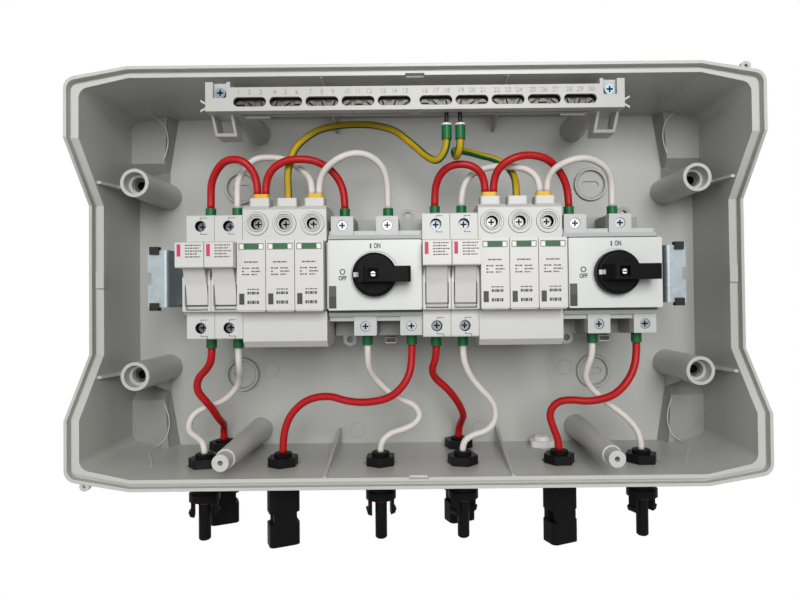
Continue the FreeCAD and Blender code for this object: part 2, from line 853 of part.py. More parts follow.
def make_bracket():
    """Left bracket: flange in front, web inwards, feet on the case and a tab behind the rail."""
    sheet = bracket_sheet
    inner = -bracket_web_x + sheet
    front = -bracket_front
    back = -case_wall - bracket_pad
    section = [(-bracket_web_x - bracket_flange, front), (inner, front), (inner, back),
               (-bracket_web_x - bracket_foot_width, back), (-bracket_web_x - bracket_foot_width, back - sheet),
               (inner - sheet, back - sheet), (inner - sheet, front + sheet),
               (-bracket_web_x - bracket_flange, front + sheet)]
    bend = bracket_bend
    strip = prism_z(section, -bracket_foot_half, bracket_foot_half,
                    [0, bend + sheet, bend + sheet, 0, 0, bend, bend, 0])
    flare = -rail_front + bracket_flare
    shape = [(front - over, -bracket_half), (flare, -bracket_half), (back + over, -bracket_foot_half),
             (back + over, bracket_foot_half), (flare, bracket_half), (front - over, bracket_half)]
    far = -bracket_web_x - bracket_flange
    strip = strip.common(prism_x(shape, far - over, inner + over))
    tab_front = -rail_front + rail_height
    window = rod_x(tab_front + sheet + bracket_window_gap + bracket_window, 0, far - over, inner + over,
                   bracket_window)
    tab = box(inner - sheet, inner + bracket_tab, tab_front, tab_front + sheet, -rail_crown / 2 + over,
              rail_crown / 2 - over)
    bracket = strip.cut(window).fuse(tab)
    cuts = [rod_y(-rail_screw_x(), 0, tab_front - over, tab_front + sheet + over, m4_radius)]
    for x, z in bracket_screw_spots():
        if x < 0:
            cuts.append(rod_y(x, z, back - sheet - over, back + over, m4_radius + bracket_screw_gap))
    notch_depth, notch_half = bracket_notch
    cuts.append(box(far - over, far + notch_depth, front - over, front + sheet + over, -notch_half,
                    notch_half))
    return clean(bracket.cut(cuts))


def cross_screw(x, z, head_front, head_radius, head_height, radius, length):
    """A pan-head screw along Y with a crossed recess, sized as shares of its head."""
    head = rod_y(x, z, head_front, head_front + head_height, head_radius)
    shank = rod_y(x, z, head_front + head_height, head_front + head_height + length, radius)
    arm_share, slot_share, depth_share = cross_shares
    arm = head_radius * arm_share
    slot = head_radius * slot_share
    depth = head_front + head_height * depth_share
    cross = box(x - arm, x + arm, head_front - over, depth, z - slot, z + slot)
    cross = cross.fuse(box(x - slot, x + slot, head_front - over, depth, z - arm, z + arm))
    return head.fuse(shank).cut(cross)


def make_bracket_screws():
    seat = -case_wall - bracket_pad - bracket_sheet
    screws = [cross_screw(x, z, seat - m4_head_height, m4_head_radius, m4_head_height,
                          m4_radius, bracket_screw_end() - seat) for x, z in bracket_screw_spots()]
    rail_seat = -rail_front + rail_height - rail_sheet
    for sign in (-1, 1):
        screws.append(cross_screw(sign * rail_screw_x(), 0, rail_seat - m4_head_height, m4_head_radius,
                                  m4_head_height, m4_radius, rail_sheet + bracket_sheet))
    return group(screws)


def make_clips():
    """Four plastic clips pushed over the top and bottom edges of the brackets' flanges."""
    x = -bracket_web_x - bracket_flange / 2 - clip_offset
    front = -bracket_front - clip_wall
    back = -bracket_front + bracket_sheet + clip_wall
    top = bracket_half + clip_leg
    clip = box(x - clip_width / 2, x + clip_width / 2, front, back, bracket_half - clip_reach, top)
    clip = clip.cut(box(x - clip_width, x + clip_width, -bracket_front, -bracket_front + bracket_sheet,
                        bracket_half - clip_reach - over, bracket_half))
    return group(four_corners(clip))


# Devices
def rail_seat_cut(x0, x1, back):
    """The recess in a device's back: it seats on the rail's front and hooks behind its flanges."""
    half = rail_width / 2 + rail_play
    front = -rail_front
    hook = front + rail_sheet + rail_play
    reach, straight, sloped = rail_hook
    deep, wider = rail_mouth
    points = [(front, -half - rail_drop), (front, half), (hook, half), (hook, half - reach),
              (hook + straight, half - reach), (hook + sloped, half), (back + deep, half + wider),
              (back + deep, -half - rail_drop)]
    return prism_x(points, x0 - over, x1 + over)


def terminal_cut(x, z, front, entry_z, inward):
    """A screw hole in a terminal's face and a wire entry below or above it."""
    screw = rod_y(x, z, -front - over, -front + terminal_hole_depth, terminal_hole_radius)
    step = entry_z + inward * ferrule_seat
    funnel = rod_z(x, -wire_entry_front, entry_z - inward * over, step, ferrule_radius + ferrule_play)
    bore = rod_z(x, -wire_entry_front, step - inward * over, step + inward * (ferrule_sleeve_length + over),
                 ferrule_sleeve_radius + ferrule_play)
    return screw.fuse([funnel, bore])


def fuse_left(index):
    """Left edge of a fuse holder, counted from 0 to 3 along the rail."""
    return group_left[index // 2] + module_width * (index % 2)


def fuse_span(index):
    left = fuse_left(index)
    return left + device_gap / 2, left + module_width - device_gap / 2


def fuse_middle(index):
    return sum(fuse_span(index)) / 2


def fuse_slot_span(index):
    x0, x1 = fuse_span(index)
    return x0 + fuse_cheek, x1 - fuse_cheek


def make_fuse_base(index):
    x0, x1 = fuse_span(index)
    middle = fuse_middle(index)
    nose = fuse_nose_half
    deep, high = fuse_skirt
    points = [(-shoulder_front, -fuse_half), (-shoulder_front, -nose), (-fuse_nose_front, -nose),
              (-fuse_nose_front, nose), (-shoulder_front, nose), (-shoulder_front, fuse_half),
              (-device_back - deep, fuse_half), (-device_back, fuse_half - high),
              (-device_back, -fuse_half + high), (-device_back - deep, -fuse_half)]
    outer, inner = fuse_rounds
    body = prism_x(points, x0, x1, [outer, 0, inner, inner, 0, outer, 0, 0, 0, 0])
    s0, s1 = fuse_slot_span(index)
    slot = box(s0, s1, -fuse_nose_front - over, -fuse_slot_back, -nose + fuse_sill, nose - fuse_sill)
    cuts = [slot, rail_seat_cut(x0, x1, -device_back)]
    pin = hinge_pin_reach + hinge_clearance
    cuts.append(rod_x(-hinge_front, hinge_z, s0 - pin, s1 + pin, hinge_pin_radius + hinge_clearance))
    cuts.append(terminal_cut(middle, fuse_terminal_z, shoulder_front, fuse_half, -1))
    cuts.append(terminal_cut(middle, -fuse_terminal_z, shoulder_front, -fuse_half, 1))
    sunk, back, short = fuse_grip
    grip = box(x0 - over, x0 + sunk, -fuse_nose_front - over, -fuse_nose_front + back, 0, nose - short)
    return clean(body.cut(cuts + [grip]))


def make_fuse_carrier(index):
    """The tilting drawer: a label block, a hollowed finger tongue and a cradle for the fuse."""
    x0, x1 = fuse_span(index)
    s0, s1 = fuse_slot_span(index)
    middle = fuse_middle(index)
    c0 = s0 + fit_gap
    c1 = s1 - fit_gap
    label = prism_x([(-label_front, label_low), (-label_front, label_high),
                     (-fuse_nose_front - fit_gap, label_high), (-fuse_nose_front - fit_gap, label_low)],
                    x0 + label_edge, x1 - label_edge, [label_round, label_round, 0, 0])
    root = label_low + label_foot
    tip_z = hinge_z - tongue_share * hinge_end_radius
    back = -carrier_side_back
    knee_front, knee_back = carrier_knee
    shoulder = -fuse_axis - carrier_shoulder[0]
    spine = [(-tongue_root, root), (-tongue_waist[0], tongue_waist[1]), (-tongue_tip, tip_z),
             (-hinge_front + knee_front, tip_z), (-hinge_front + knee_back, hinge_z),
             (-hinge_front + knee_back, -carrier_side_half - over), (back, -carrier_side_half),
             (back, carrier_side_half), (shoulder, carrier_side_half + carrier_shoulder[1]),
             (shoulder, carrier_top_z), (-fuse_nose_front - over, carrier_top_z),
             (-fuse_nose_front - over, root)]
    tip_round, knee_round, back_round = carrier_rounds
    body = prism_x(spine, c0, c1, [0, tongue_round, tip_round, knee_round, 0, 0, back_round, back_round,
                                   0, 0, 0, 0])
    body = body.fuse([label, rod_x(-hinge_front, hinge_z, c0, c1, hinge_end_radius),
                      rod_x(-hinge_front, hinge_z, s0 - hinge_pin_reach, s1 + hinge_pin_reach,
                            hinge_pin_radius)])
    seat = fuse_radius + fuse_seat_gap
    half = fuse_length / 2 + fuse_end_gap
    mouth = seat * carrier_channel[0]
    channel = rod_z(middle, -fuse_axis, -half, half, seat)
    channel = channel.fuse(box(middle - mouth, middle + mouth, -fuse_axis + carrier_channel[1],
                               -carrier_side_back + over, -half, half))
    return clean(body.cut(channel))


def make_fuse_link(index):
    """A cylindrical fuse: a ceramic barrel between two metal caps."""
    middle = fuse_middle(index)
    half = fuse_length / 2
    barrel = rod_z(middle, -fuse_axis, -half + over, half - over, fuse_radius - fuse_cap_step)
    caps = [rod_z(middle, -fuse_axis, -half, -half + fuse_cap, fuse_radius),
            rod_z(middle, -fuse_axis, half - fuse_cap, half, fuse_radius)]
    return clean(barrel.fuse(caps))


def make_fuse_contacts():
    """The sprung jaws in the four fuse holders that grip the fuse's caps."""
    jaws = []
    reach = fuse_radius + fit_gap
    for index in range(4):
        middle = fuse_middle(index)
        for z0, z1 in ((jaw_low, jaw_high), (-jaw_high, -jaw_low)):
            plan = [(middle - reach - jaw_sheet, -jaw_front), (middle - reach - jaw_sheet, -fuse_slot_back),
                    (middle + reach + jaw_sheet, -fuse_slot_back), (middle + reach + jaw_sheet, -jaw_front),
                    (middle + reach, -jaw_front), (middle + reach, -fuse_slot_back - jaw_sheet),
                    (middle - reach, -fuse_slot_back - jaw_sheet), (middle - reach, -jaw_front)]
            jaws.append(prism_z(plan, z0, z1))
    return group(jaws)


def terminal_screw(x, z, face):
    """A terminal screw down in its hole, with its clamp nut block out of sight."""
    head = -face + terminal_screw_drop
    return cross_screw(x, z, head, terminal_screw_radius, screw_head_height, terminal_shank_radius,
                       terminal_hole_depth - terminal_screw_drop - screw_head_height)


def make_fuse_terminal_screws():
    screws = []
    for index in range(4):
        for z in (-fuse_terminal_z, fuse_terminal_z):
            screws.append(terminal_screw(fuse_middle(index), z, shoulder_front))
    return group(screws)


def surge_left(index):
    return group_left[index] + fuse_modules * module_width


def surge_span(index):
    left = surge_left(index)
    return left + device_gap / 2, left + surge_modules * module_width - device_gap / 2


def surge_middle(index, pole):
    """Centre of one pole; the three poles share the width left between the base's side walls."""
    x0, x1 = surge_span(index)
    return x0 + (x1 - x0) * (pole + 0.5) / surge_modules


def make_surge_base(index):
    x0, x1 = surge_span(index)
    half = surge_half
    deep, high = surge_skirt
    points = [(-shoulder_front, surge_shoulder_bottom), (-shoulder_front, surge_shoulder_top),
              (-shoulder_front + surge_chamfer_top, half), (-surge_back - deep, half),
              (-surge_back, half - high), (-surge_back, -half + high), (-surge_back - deep, -half),
              (-shoulder_front + surge_chamfer_bottom, -half)]
    body = prism_x(points, x0, x1)
    bay = box(x0 - over, x1 + over, -shoulder_front - over, -surge_bay_floor, -cartridge_half - fit_gap,
              cartridge_half + fit_gap)
    cuts = [bay, rail_seat_cut(x0, x1, -surge_back)]
    adds = []
    for pole in range(surge_modules):
        x = surge_middle(index, pole)
        for side in (-1, 1):
            width, height, reach = blade_size
            cuts.append(box(x - width / 2 - fit_gap, x + width / 2 + fit_gap, -surge_bay_floor - over,
                            -surge_bay_floor + reach + over, side * blade_z - height / 2 - fit_gap,
                            side * blade_z + height / 2 + fit_gap))
        ring_front = -shoulder_front - surge_ring_height
        ring = rod_y(x, surge_terminal_z, ring_front, -shoulder_front + over, surge_ring_radius)
        well = rod_y(x, surge_terminal_z, ring_front - over, -shoulder_front + surge_ring_sink,
                     surge_ring_radius - surge_ring_width)
        hole = rod_y(x, surge_terminal_z, ring_front - over, -shoulder_front + terminal_hole_depth,
                     surge_hole_radius)
        plan = rectangle(x - collar_width / 2, x + collar_width / 2, -spout_front, -spout_front + collar_depth)
        spout = prism_z(plan, half - over, half + collar_height, collar_round)
        adds += [ring, spout]
        cuts += [well, hole, twin_pocket(x)]
    for side in (1, 2):
        x = (surge_middle(index, side - 1) + surge_middle(index, side)) / 2
        width, deep, sunk = surge_seam
        cuts.append(box(x - width / 2, x + width / 2, -shoulder_front - over, -shoulder_front + deep,
                        half - sunk, half + over))
    return clean(body.fuse(adds).cut(cuts))


def spout_y():
    return -spout_front + collar_depth / 2


def twin_pocket(x):
    """The wire entry down into one spout of a surge protector."""
    top = surge_half + collar_height
    half_width = twin_width / 2 + ferrule_play
    half_depth = twin_depth / 2 + ferrule_play
    shape = rectangle(x - half_width, x + half_width, spout_y() - half_depth, spout_y() + half_depth)
    return prism_z(shape, top - spout_pocket, top + over, twin_round)


def make_cartridge(index, pole):
    """A plug-in surge cartridge with its window strip and two contact blades."""
    x = surge_middle(index, pole)
    half_width = module_width / 2 - cartridge_side_gap
    points = rectangle(x - half_width, x + half_width, -cartridge_half, cartridge_half)
    body = prism_y(points, -cartridge_front, -surge_bay_floor - cartridge_seat_gap, cartridge_corner)
    width, height, depth = cartridge_window
    window = box(x - width / 2, x + width / 2, -cartridge_front - over, -cartridge_front + depth,
                 cartridge_window_z - height / 2, cartridge_window_z + height / 2)
    thick, tall, reach = blade_size
    blades = [box(x - thick / 2, x + thick / 2, -surge_bay_floor - over, -surge_bay_floor + reach,
                  side * blade_z - tall / 2, side * blade_z + tall / 2) for side in (-1, 1)]
    chin = box(x - half_width - over, x + half_width + over, -cartridge_front - over,
               -cartridge_front + cartridge_chin, -cartridge_half - over, -cartridge_half + cartridge_chin)
    return body.fuse(blades).cut([window, chin])


def make_surge_screws():
    screws = []
    for index in range(2):
        for pole in range(surge_modules):
            screws.append(terminal_screw(surge_middle(index, pole), surge_terminal_z, shoulder_front))
    return group(screws)


def switch_shift(index):
    """How far a switch sits from the place of the first one."""
    return group_left[index] - group_left[0]


def tower(x, side):
    """One terminal tower, standing out of the switch's top or bottom."""
    half = switch_tower_width / 2
    z0 = side * (switch_waist_half - switch_tower_root)
    z1 = side * switch_tower_half
    return prism_y(rectangle(x - half, x + half, min(z0, z1), max(z0, z1)), -switch_tower_front,
                   -switch_tower_back + rooted, switch_tower_round)


def make_switch_body(index):
    plate = -switch_face_front + switch_face_thick
    border_in, border_out, border_front = switch_border
    border = -switch_waist_front - border_front
    inside = switch_face_half - border_in
    outside = switch_face_half + border_out
    steps = [(plate, -inside), (plate, inside), (border, inside), (border, outside),
             (-switch_waist_front, switch_waist_half), (-switch_step_front, switch_waist_half),
             (-switch_step_front, switch_step_half), (-switch_floor_front, switch_step_half),
             (-switch_floor_front, switch_floor_half), (-device_back, switch_floor_half),
             (-device_back, -switch_floor_half), (-switch_floor_front, -switch_floor_half),
             (-switch_floor_front, -switch_step_half), (-switch_step_front, -switch_step_half),
             (-switch_step_front, -switch_waist_half), (-switch_waist_front, -switch_waist_half),
             (border, -outside), (border, -inside)]
    body = prism_x(steps, switch_left, switch_right)
    adds = [tower(x, 1) for x in switch_tower_up] + [tower(x, -1) for x in switch_tower_down]
    cuts = [rail_seat_cut(switch_left, switch_right, -device_back)]
    for (x, z), side in zip(switch_ears, (1, -1)):
        front = -switch_floor_front
        back = front + switch_ear_thick
        foot = side * (switch_floor_half - rooted)
        adds.append(rod_y(x, z, front, back, switch_ear_radius))
        adds.append(box(x - switch_ear_radius, x + switch_ear_radius, front, back, foot, z))
        cuts.append(rod_y(x, z, front - over, back + over, switch_ear_hole))
    for xs, side in ((switch_tower_up, 1), (switch_tower_down, -1)):
        for x in xs:
            cuts.append(rod_y(x, side * switch_screw_z, -switch_tower_front - over,
                              -switch_tower_front + switch_hole_depth, terminal_screw_radius + ferrule_play))
            funnel_z = side * (switch_tower_half - ferrule_seat)
            deep_z = side * (switch_tower_half - ferrule_seat - switch_bore_depth)
            cuts.append(rod_z(x, -wire_entry_front, side * (switch_tower_half + over), funnel_z,
                              ferrule_radius + ferrule_play))
            cuts.append(rod_z(x, -wire_entry_front, funnel_z + side * over, deep_z,
                              ferrule_sleeve_radius + ferrule_play))
    cuts.append(rod_y(handle_x, 0, plate - over, -spindle_back + over, spindle_radius + spindle_bore_gap))
    cuts.append(latch_channel())
    shape = clean(body.fuse(adds).cut(cuts))
    shape.translate(Vector(switch_shift(index), 0, 0))
    return shape


def latch_channel():
    half = latch_width / 2 + rail_play
    return box(latch_x - half, latch_x + half, -device_back - latch_thick - rail_play, -device_back + over,
               -switch_floor_half - over, -rail_width / 2)


def make_switch_latch(index):
    """The sliding rail latch: its nose is behind the rail's lower flange, its foot sticks out below."""
    half = latch_width / 2
    y0 = -device_back - latch_thick
    y1 = -device_back - latch_gap
    out, thick, taper = latch_foot
    foot = prism_x([(y0, latch_high), (y1, latch_high), (y1, latch_low), (y0 - out, latch_low),
                    (y0 - out, latch_low + thick), (y0, latch_low + thick + taper)],
                   latch_x - half, latch_x + half)
    nose_top = -rail_width / 2 + latch_nose[1]
    nose = prism_x([(y0, latch_high), (y1, latch_high), (y1, nose_top), (y0 + latch_nose[0], nose_top)],
                   latch_x - half, latch_x + half)
    eye_half, eye_low, eye_tall = latch_eye
    eye = box(latch_x - eye_half, latch_x + eye_half, y0 - out - over, y1 + over, latch_low + eye_low,
              latch_low + eye_low + eye_tall)
    shape = clean(foot.fuse(nose).cut(eye))
    shape.translate(Vector(switch_shift(index), 0, 0))
    return shape


def make_switch_face(index):
    """The front plate with a raised border and the shaft's hole."""
    left = switch_left + switch_face_margins[0]
    right = switch_right - switch_face_margins[1]
    front = -switch_face_front
    back = front + switch_face_thick
    plate = prism_y(rectangle(left, right, -switch_face_half, switch_face_half), front, back,
                    switch_face_corner)
    seat = rod_y(handle_x, 0, front - over, front + handle_seat[1], handle_radius + handle_seat[0])
    hole = rod_y(handle_x, 0, front - over, back + over, spindle_radius + spindle_face_gap)
    shape = plate.cut([seat, hole])
    shape.translate(Vector(switch_shift(index), 0, 0))
    return shape


def make_switch_handle(index):
    """Round knob with a lever across it, a recess for the shaft's screw and rounded edges."""
    back = -switch_face_front + handle_clear
    front = -handle_disc_front
    edge = handle_edge
    radius = handle_radius
    profile = [Vector(0, back, 0), Vector(radius, back, 0), Vector(radius, front + edge, 0)]
    share = 1 - math.sqrt(0.5)
    middle = Vector(radius - edge * share, front + edge * share, 0)
    end = Vector(radius - edge, front, 0)
    wire = Part.Wire([Part.makeLine(profile[0], profile[1]), Part.makeLine(profile[1], profile[2]),
                      Part.Arc(profile[2], middle, end).toShape(), Part.makeLine(end, Vector(0, front, 0)),
                      Part.makeLine(Vector(0, front, 0), profile[0])])
    disc = Part.Face(wire).revolve(Vector(0, 0, 0), Vector(0, 1, 0), 360)
    half = handle_lever_half
    tail_low, tail_high = handle_lever_tail
    lever = prism_z([(-tail_low, front + over), (handle_lever_reach, front + over),
                     (handle_lever_reach, -handle_front), (-tail_high, -handle_front)],
                    -half, half, [0, 0, handle_lever_rounds[0], handle_lever_rounds[1]])
    lift = -switch_face_front - handle_clear
    root = radius - handle_under[0]
    under = prism_z([(root, lift), (radius + handle_under[1], lift), (handle_lever_reach, front + over),
                     (root, front + over)], -half, half)
    knob = disc.fuse([lever, under])
    recess = handle_recess_half
    cuts = [box(-recess, recess, -handle_front - over, -handle_front + handle_recess_depth, -recess, recess),
            rod_y(0, 0, -handle_front + over, back + over, spindle_radius + spindle_press)]
    shape = clean(knob.cut(cuts))
    shape.translate(Vector(handle_x + switch_shift(index), 0, 0))
    return shape


def make_switch_spindle(index):
    """The switch's shaft with the knob's screw in its end."""
    head_radius, head_height, slot_width, slot_depth = spindle_screw
    seat = -handle_front + handle_recess_depth
    head_front = seat - head_height
    shaft = rod_y(handle_x, 0, seat, -spindle_back, spindle_radius)
    head = rod_y(handle_x, 0, head_front, seat, head_radius)
    slot = box(handle_x - spindle_radius, handle_x + spindle_radius, head_front - over,
               head_front + slot_depth, -slot_width / 2, slot_width / 2)
    shape = shaft.fuse(head).cut(slot)
    shape.translate(Vector(switch_shift(index), 0, 0))
    return shape


def make_switch_screws():
    screws = []
    for index in range(2):
        for xs, side in ((switch_tower_up, 1), (switch_tower_down, -1)):
            for x in xs:
                screws.append(cross_screw(x + switch_shift(index), side * switch_screw_z,
                                          -switch_tower_front + switch_screw_drop, terminal_screw_radius,
                                          screw_head_height, *switch_screw_shank))
    return group(screws)


# Earth terminal bar
def earth_slot_middle(number):
    """Centre of one of the slots: two banks with a wider gap between them."""
    bank = earth_slots // 2
    if number < bank:
        return -earth_centre_gap - (bank - 1 - number) * earth_slot_pitch
    return earth_centre_gap + (number - bank) * earth_slot_pitch


def make_earth_carrier():
    front = -earth_front
    back = front + earth_depth
    plate = earth_plate
    hook = earth_low + earth_ledge + earth_hook
    section = [(front, earth_low), (back, earth_low), (back, hook), (back - earth_ledge, hook),
               (back - earth_ledge, earth_low + earth_ledge),
               (front + plate, earth_low + earth_ledge), (front + plate, earth_high - earth_ledge),
               (back, earth_high - earth_ledge), (back, earth_high), (front, earth_high)]
    channel = prism_x(section, -earth_half + earth_end_width, earth_half - earth_end_width)
    adds = []
    cuts = []
    for sign in (-1, 1):
        outer = sign * earth_half
        inner = sign * (earth_half - earth_end_width)
        post = sign * post_x
        block = box(inner, outer, front, back, earth_low, earth_end_high)
        half, drop, sunk = earth_recess
        recess = box(post - half, post + half, front - over, front + sunk, post_z - drop,
                     earth_end_high + over)
        hole = rod_y(post, post_z, front - over, back + over, post_hole_radius + ferrule_play)
        adds.append(block)
        cuts += [recess, hole]
        adds.append(earth_leg(sign))
        out, root, tip_in, tip_out = earth_prong
        z = earth_low + earth_prong_rise
        for tilt in (-1, 1):
            prong = [(outer - sign * over, z), (outer + sign * out, z + tilt * tip_in),
                     (outer + sign * out, z + tilt * tip_out), (outer - sign * over, z + tilt * root)]
            adds.append(prism_y(prong, front + over, front + over + plate))
        half, deep, drop = earth_clip
        adds.append(box(sign * (earth_clip_x - half), sign * (earth_clip_x + half), back - deep, back,
                        earth_low - drop, earth_low + over))
    for number in range(earth_slots):
        x = earth_slot_middle(number)
        half = earth_slot_length / 2
        tall = earth_slot_height / 2
        cuts.append(prism_y(rectangle(x - half, x + half, earth_slot_z - tall, earth_slot_z + tall),
                            front - over, front + plate + over, tall - hair))
    middle = sum(earth_bar_span()) / 2
    reach = earth_wire_hole / 2
    near = earth_centre_gap - earth_slot_length / 2 + earth_slit_insets[0]
    far = earth_slot_middle(earth_slots - 1) + earth_slot_length / 2 - earth_slit_insets[1]
    for sign in (-1, 1):
        cuts.append(box(sign * near, sign * far, middle - reach, middle + reach, earth_low - over,
                        earth_low + earth_ledge + over))
    return clean(channel.fuse(adds).cut(cuts))


def earth_leg(sign):
    """A hollow rectangular foot that slopes back below each end of the bar."""
    x1 = sign * (earth_half - earth_leg_inset)
    x0 = x1 - sign * earth_leg_width
    top = earth_low + over / 2
    side = [(-earth_front + earth_leg_slopes[0], top), (-earth_leg_front, earth_leg_low),
            (-earth_leg_back, earth_leg_low), (-earth_leg_back - earth_leg_slopes[1], top)]
    leg = prism_x(side, x0, x1)
    window = box(x0 + sign * earth_leg_wall, x1 - sign * earth_leg_wall, -earth_front, -earth_leg_back + over,
                 earth_leg_low + earth_leg_wall, earth_low - hair)
    return leg.cut(window)


def earth_way_spots():
    spots = []
    for number in range(earth_slots):
        for way in range(earth_ways):
            spots.append(earth_slot_middle(number) + (way - (earth_ways - 1) / 2) * earth_way_pitch)
    return spots


def earth_bar_span():
    """Front and back of the brass bar inside its carrier."""
    return -earth_bar_front, -earth_front + earth_depth - earth_ledge - earth_bar_gap


def make_earth_busbar():
    """The brass bar behind the slots: a tapped hole and a wire hole from below for each way."""
    half = earth_half - earth_end_width - fit_gap
    low = earth_low + earth_ledge
    front, back = earth_bar_span()
    bar = box(-half, half, front, back, low, low + earth_bar_height)
    middle = (front + back) / 2
    reach = earth_wire_hole / 2
    shank_radius, shank_length = earth_screw_shank
    holes = []
    for x in earth_way_spots():
        holes.append(rod_y(x, earth_screw_z, front - over, front + shank_length, shank_radius))
        holes.append(box(x - reach, x + reach, middle - reach, middle + reach, low - over,
                         low + earth_wire_depth))
    return bar.cut(holes)


def make_earth_screws():
    """The bar's clamp screws: low cylinders with a plain slot."""
    screws = []
    seat = -earth_bar_front
    front = seat - earth_screw_height
    shank_radius, shank_length = earth_screw_shank
    slot_depth, slot_width = earth_screw_slot
    reach = earth_screw_radius + over
    for x in earth_way_spots():
        head = rod_y(x, earth_screw_z, front, seat, earth_screw_radius)
        slot = box(x - reach, x + reach, front - over, front + slot_depth, earth_screw_z - slot_width / 2,
                   earth_screw_z + slot_width / 2)
        slot.rotate(Vector(x, 0, earth_screw_z), Vector(0, 1, 0), earth_screw_turn * (len(screws) % 5))
        shank = rod_y(x, earth_screw_z, seat, seat + shank_length, shank_radius)
        screws.append(head.fuse(shank).cut(slot))
    return group(screws)


def make_earth_carrier_screws():
    seat = -earth_front + earth_recess[2]
    head_radius, head_height, length = earth_carrier_screw
    return group([cross_screw(sign * post_x, post_z, seat - head_height, head_radius, head_height,
                              post_hole_radius, length) for sign in (-1, 1)])


# Connectors, ferrules and wires
def connector_stub(x, y):
    """The threaded neck of a panel connector, up through the bottom wall."""
    return rod_z(x, -y, -stub_top, entry_faces(y)[1], entry_radius - entry_stub_gap)


def turned(shape, x, y, angle):
    shape.rotate(Vector(x, -y, 0), Vector(0, 0, 1), angle)
    return shape


def make_socket(x, y):
    """Wide panel socket: flange, waisted body with side notches and an open bore below."""
    top = entry_faces(y)[1]
    low = -socket_end
    flange = rod_z(x, -y, top - socket_flange, top, flange_radius)
    wide = socket_width / 2
    thick = socket_thick / 2
    plan = [(x - wide, -y - thick), (x + wide, -y - thick), (x + wide, -y + thick), (x - wide, -y + thick)]
    body = prism_z(plan, low, top - socket_flange + over, socket_round)
    neck = socket_neck_width / 2
    neck_top, neck_low = (-case_height / 2 - drop for drop in socket_neck)
    slot_in, slot_half, slot_up, slot_down = socket_slot
    cuts = []
    for sign in (-1, 1):
        cuts.append(box(x + sign * neck, x + sign * (wide + over), -y - thick - over, -y + thick + over,
                        neck_top, neck_low))
        cuts.append(box(x + sign * (neck - slot_in), x + sign * (neck + over), -y - slot_half, -y + slot_half,
                        neck_top + slot_up, neck_low - slot_down))
    cuts.append(rod_z(x, -y, low - over, low + socket_bore_depth, socket_bore))
    return turned(clean(flange.fuse(body).cut(cuts)), x, y, socket_turn).fuse(connector_stub(x, y))


def make_plug(x, y, turn):
    """Slender panel plug: body, two barbed clip arms and a hollow nose."""
    top = entry_faces(y)[1]
    flange = rod_z(x, -y, top - socket_flange, top, flange_radius)
    body = rod_z(x, -y, -plug_body_low, top, plug_body_radius)
    collar = rod_z(x, -y, -plug_body_low, -plug_body_low + plug_collar, flange_radius)
    nose = rod_z(x, -y, -plug_end, -plug_body_low + over, plug_pin_radius)
    tip = [edge for edge in nose.Edges
           if abs(edge.BoundBox.ZMax + plug_end) < hair and len(edge.Vertexes) == 1]
    nose = nose.makeChamfer(plug_pin_chamfer, tip)
    seat = rod_z(x, -y, -plug_body_low - seal_ring_height, -plug_body_low + over, seal_seat_radius)
    adds = [body, collar, nose, seat]
    half = plug_arm_width / 2
    out = plug_arm_out
    back = out - plug_arm_thick
    barb, hook, barb_root, barb_edge, barb_low = plug_barb
    for sign in (-1, 1):
        arm = [(sign * back, -plug_body_low + over), (sign * out, -plug_body_low + over),
               (sign * out, -plug_arm_low + barb_root), (sign * (out + barb), -plug_arm_low + barb_edge),
               (sign * (out + hook), -plug_arm_low + barb_low), (sign * back, -plug_arm_low)]
        wire = outline([Vector(x + px, -y - half, z) for px, z in arm])
        adds.append(Part.Face(wire).extrude(Vector(0, plug_arm_width, 0)))
    bore = rod_z(x, -y, -plug_end - over, -plug_body_low - plug_bore_floor, plug_bore)
    return turned(clean(flange.fuse(adds).cut(bore)), x, y, turn).fuse(connector_stub(x, y))


def make_seal_ring(x, y):
    low = -plug_body_low - seal_ring_height
    ring = rod_z(x, -y, low, -plug_body_low, seal_ring_radius)
    return ring.cut(rod_z(x, -y, low - over, -plug_body_low + over, seal_seat_radius))


def make_nut(x, y, turn):
    inner = entry_faces(y)[0]
    nut = prism_z(hexagon(x, -y, nut_flats), inner, inner + nut_height, nut_round)
    nut = nut.cut(rod_z(x, -y, inner - over, inner + nut_height + over, entry_radius + nut_gap))
    return turned(nut, x, y, turn)


def make_vent():
    """The vent plug: a ribbed translucent nut and dome inside, a low flange outside."""
    inner, outer = entry_faces(entry_back)
    y = -entry_back
    top = inner + vent_nut_height
    wide = 2 * vent_nut_radius
    nut = rod_z(vent_x, y, inner, top, vent_nut_radius)
    flats = [box(vent_x + vent_nut_radius - vent_flat, vent_x + wide, y - wide, y + wide, inner - over,
                 top + over)]
    for k in range(1, 6):
        flat = flats[0].copy()
        flat.rotate(Vector(vent_x, y, 0), Vector(0, 0, 1), 60.0 * k)
        flats.append(flat)
    dome = Part.makeCone(vent_dome, vent_dome - vent_dome_taper, vent_dome_height, Vector(vent_x, y, top))
    neck = rod_z(vent_x, y, outer - over, inner + over, entry_radius - entry_stub_gap)
    cap = rod_z(vent_x, y, outer - vent_flange_height, outer, vent_nut_radius)
    return clean(nut.cut(flats).fuse([dome, neck, cap]))


def ferrule(x, y, seat_z, way):
    """An insulated ferrule: a collar half in the terminal's mouth and its sleeve further in."""
    collar = rod_z(x, y, seat_z, seat_z + way * (ferrule_seat + ferrule_length), ferrule_radius)
    sleeve = rod_z(x, y, seat_z - way * ferrule_sleeve_shown, seat_z, ferrule_sleeve_radius)
    return collar.fuse(sleeve)


def earth_lead_spots():
    """The two earth leads enter the bar from below, on both sides of the first rib right of its middle."""
    middle = sum(earth_bar_span()) / 2
    last = earth_ways * (earth_slots // 2 + 1) - 1
    return [(earth_way_spots()[way], middle) for way in (last, last + 1)]


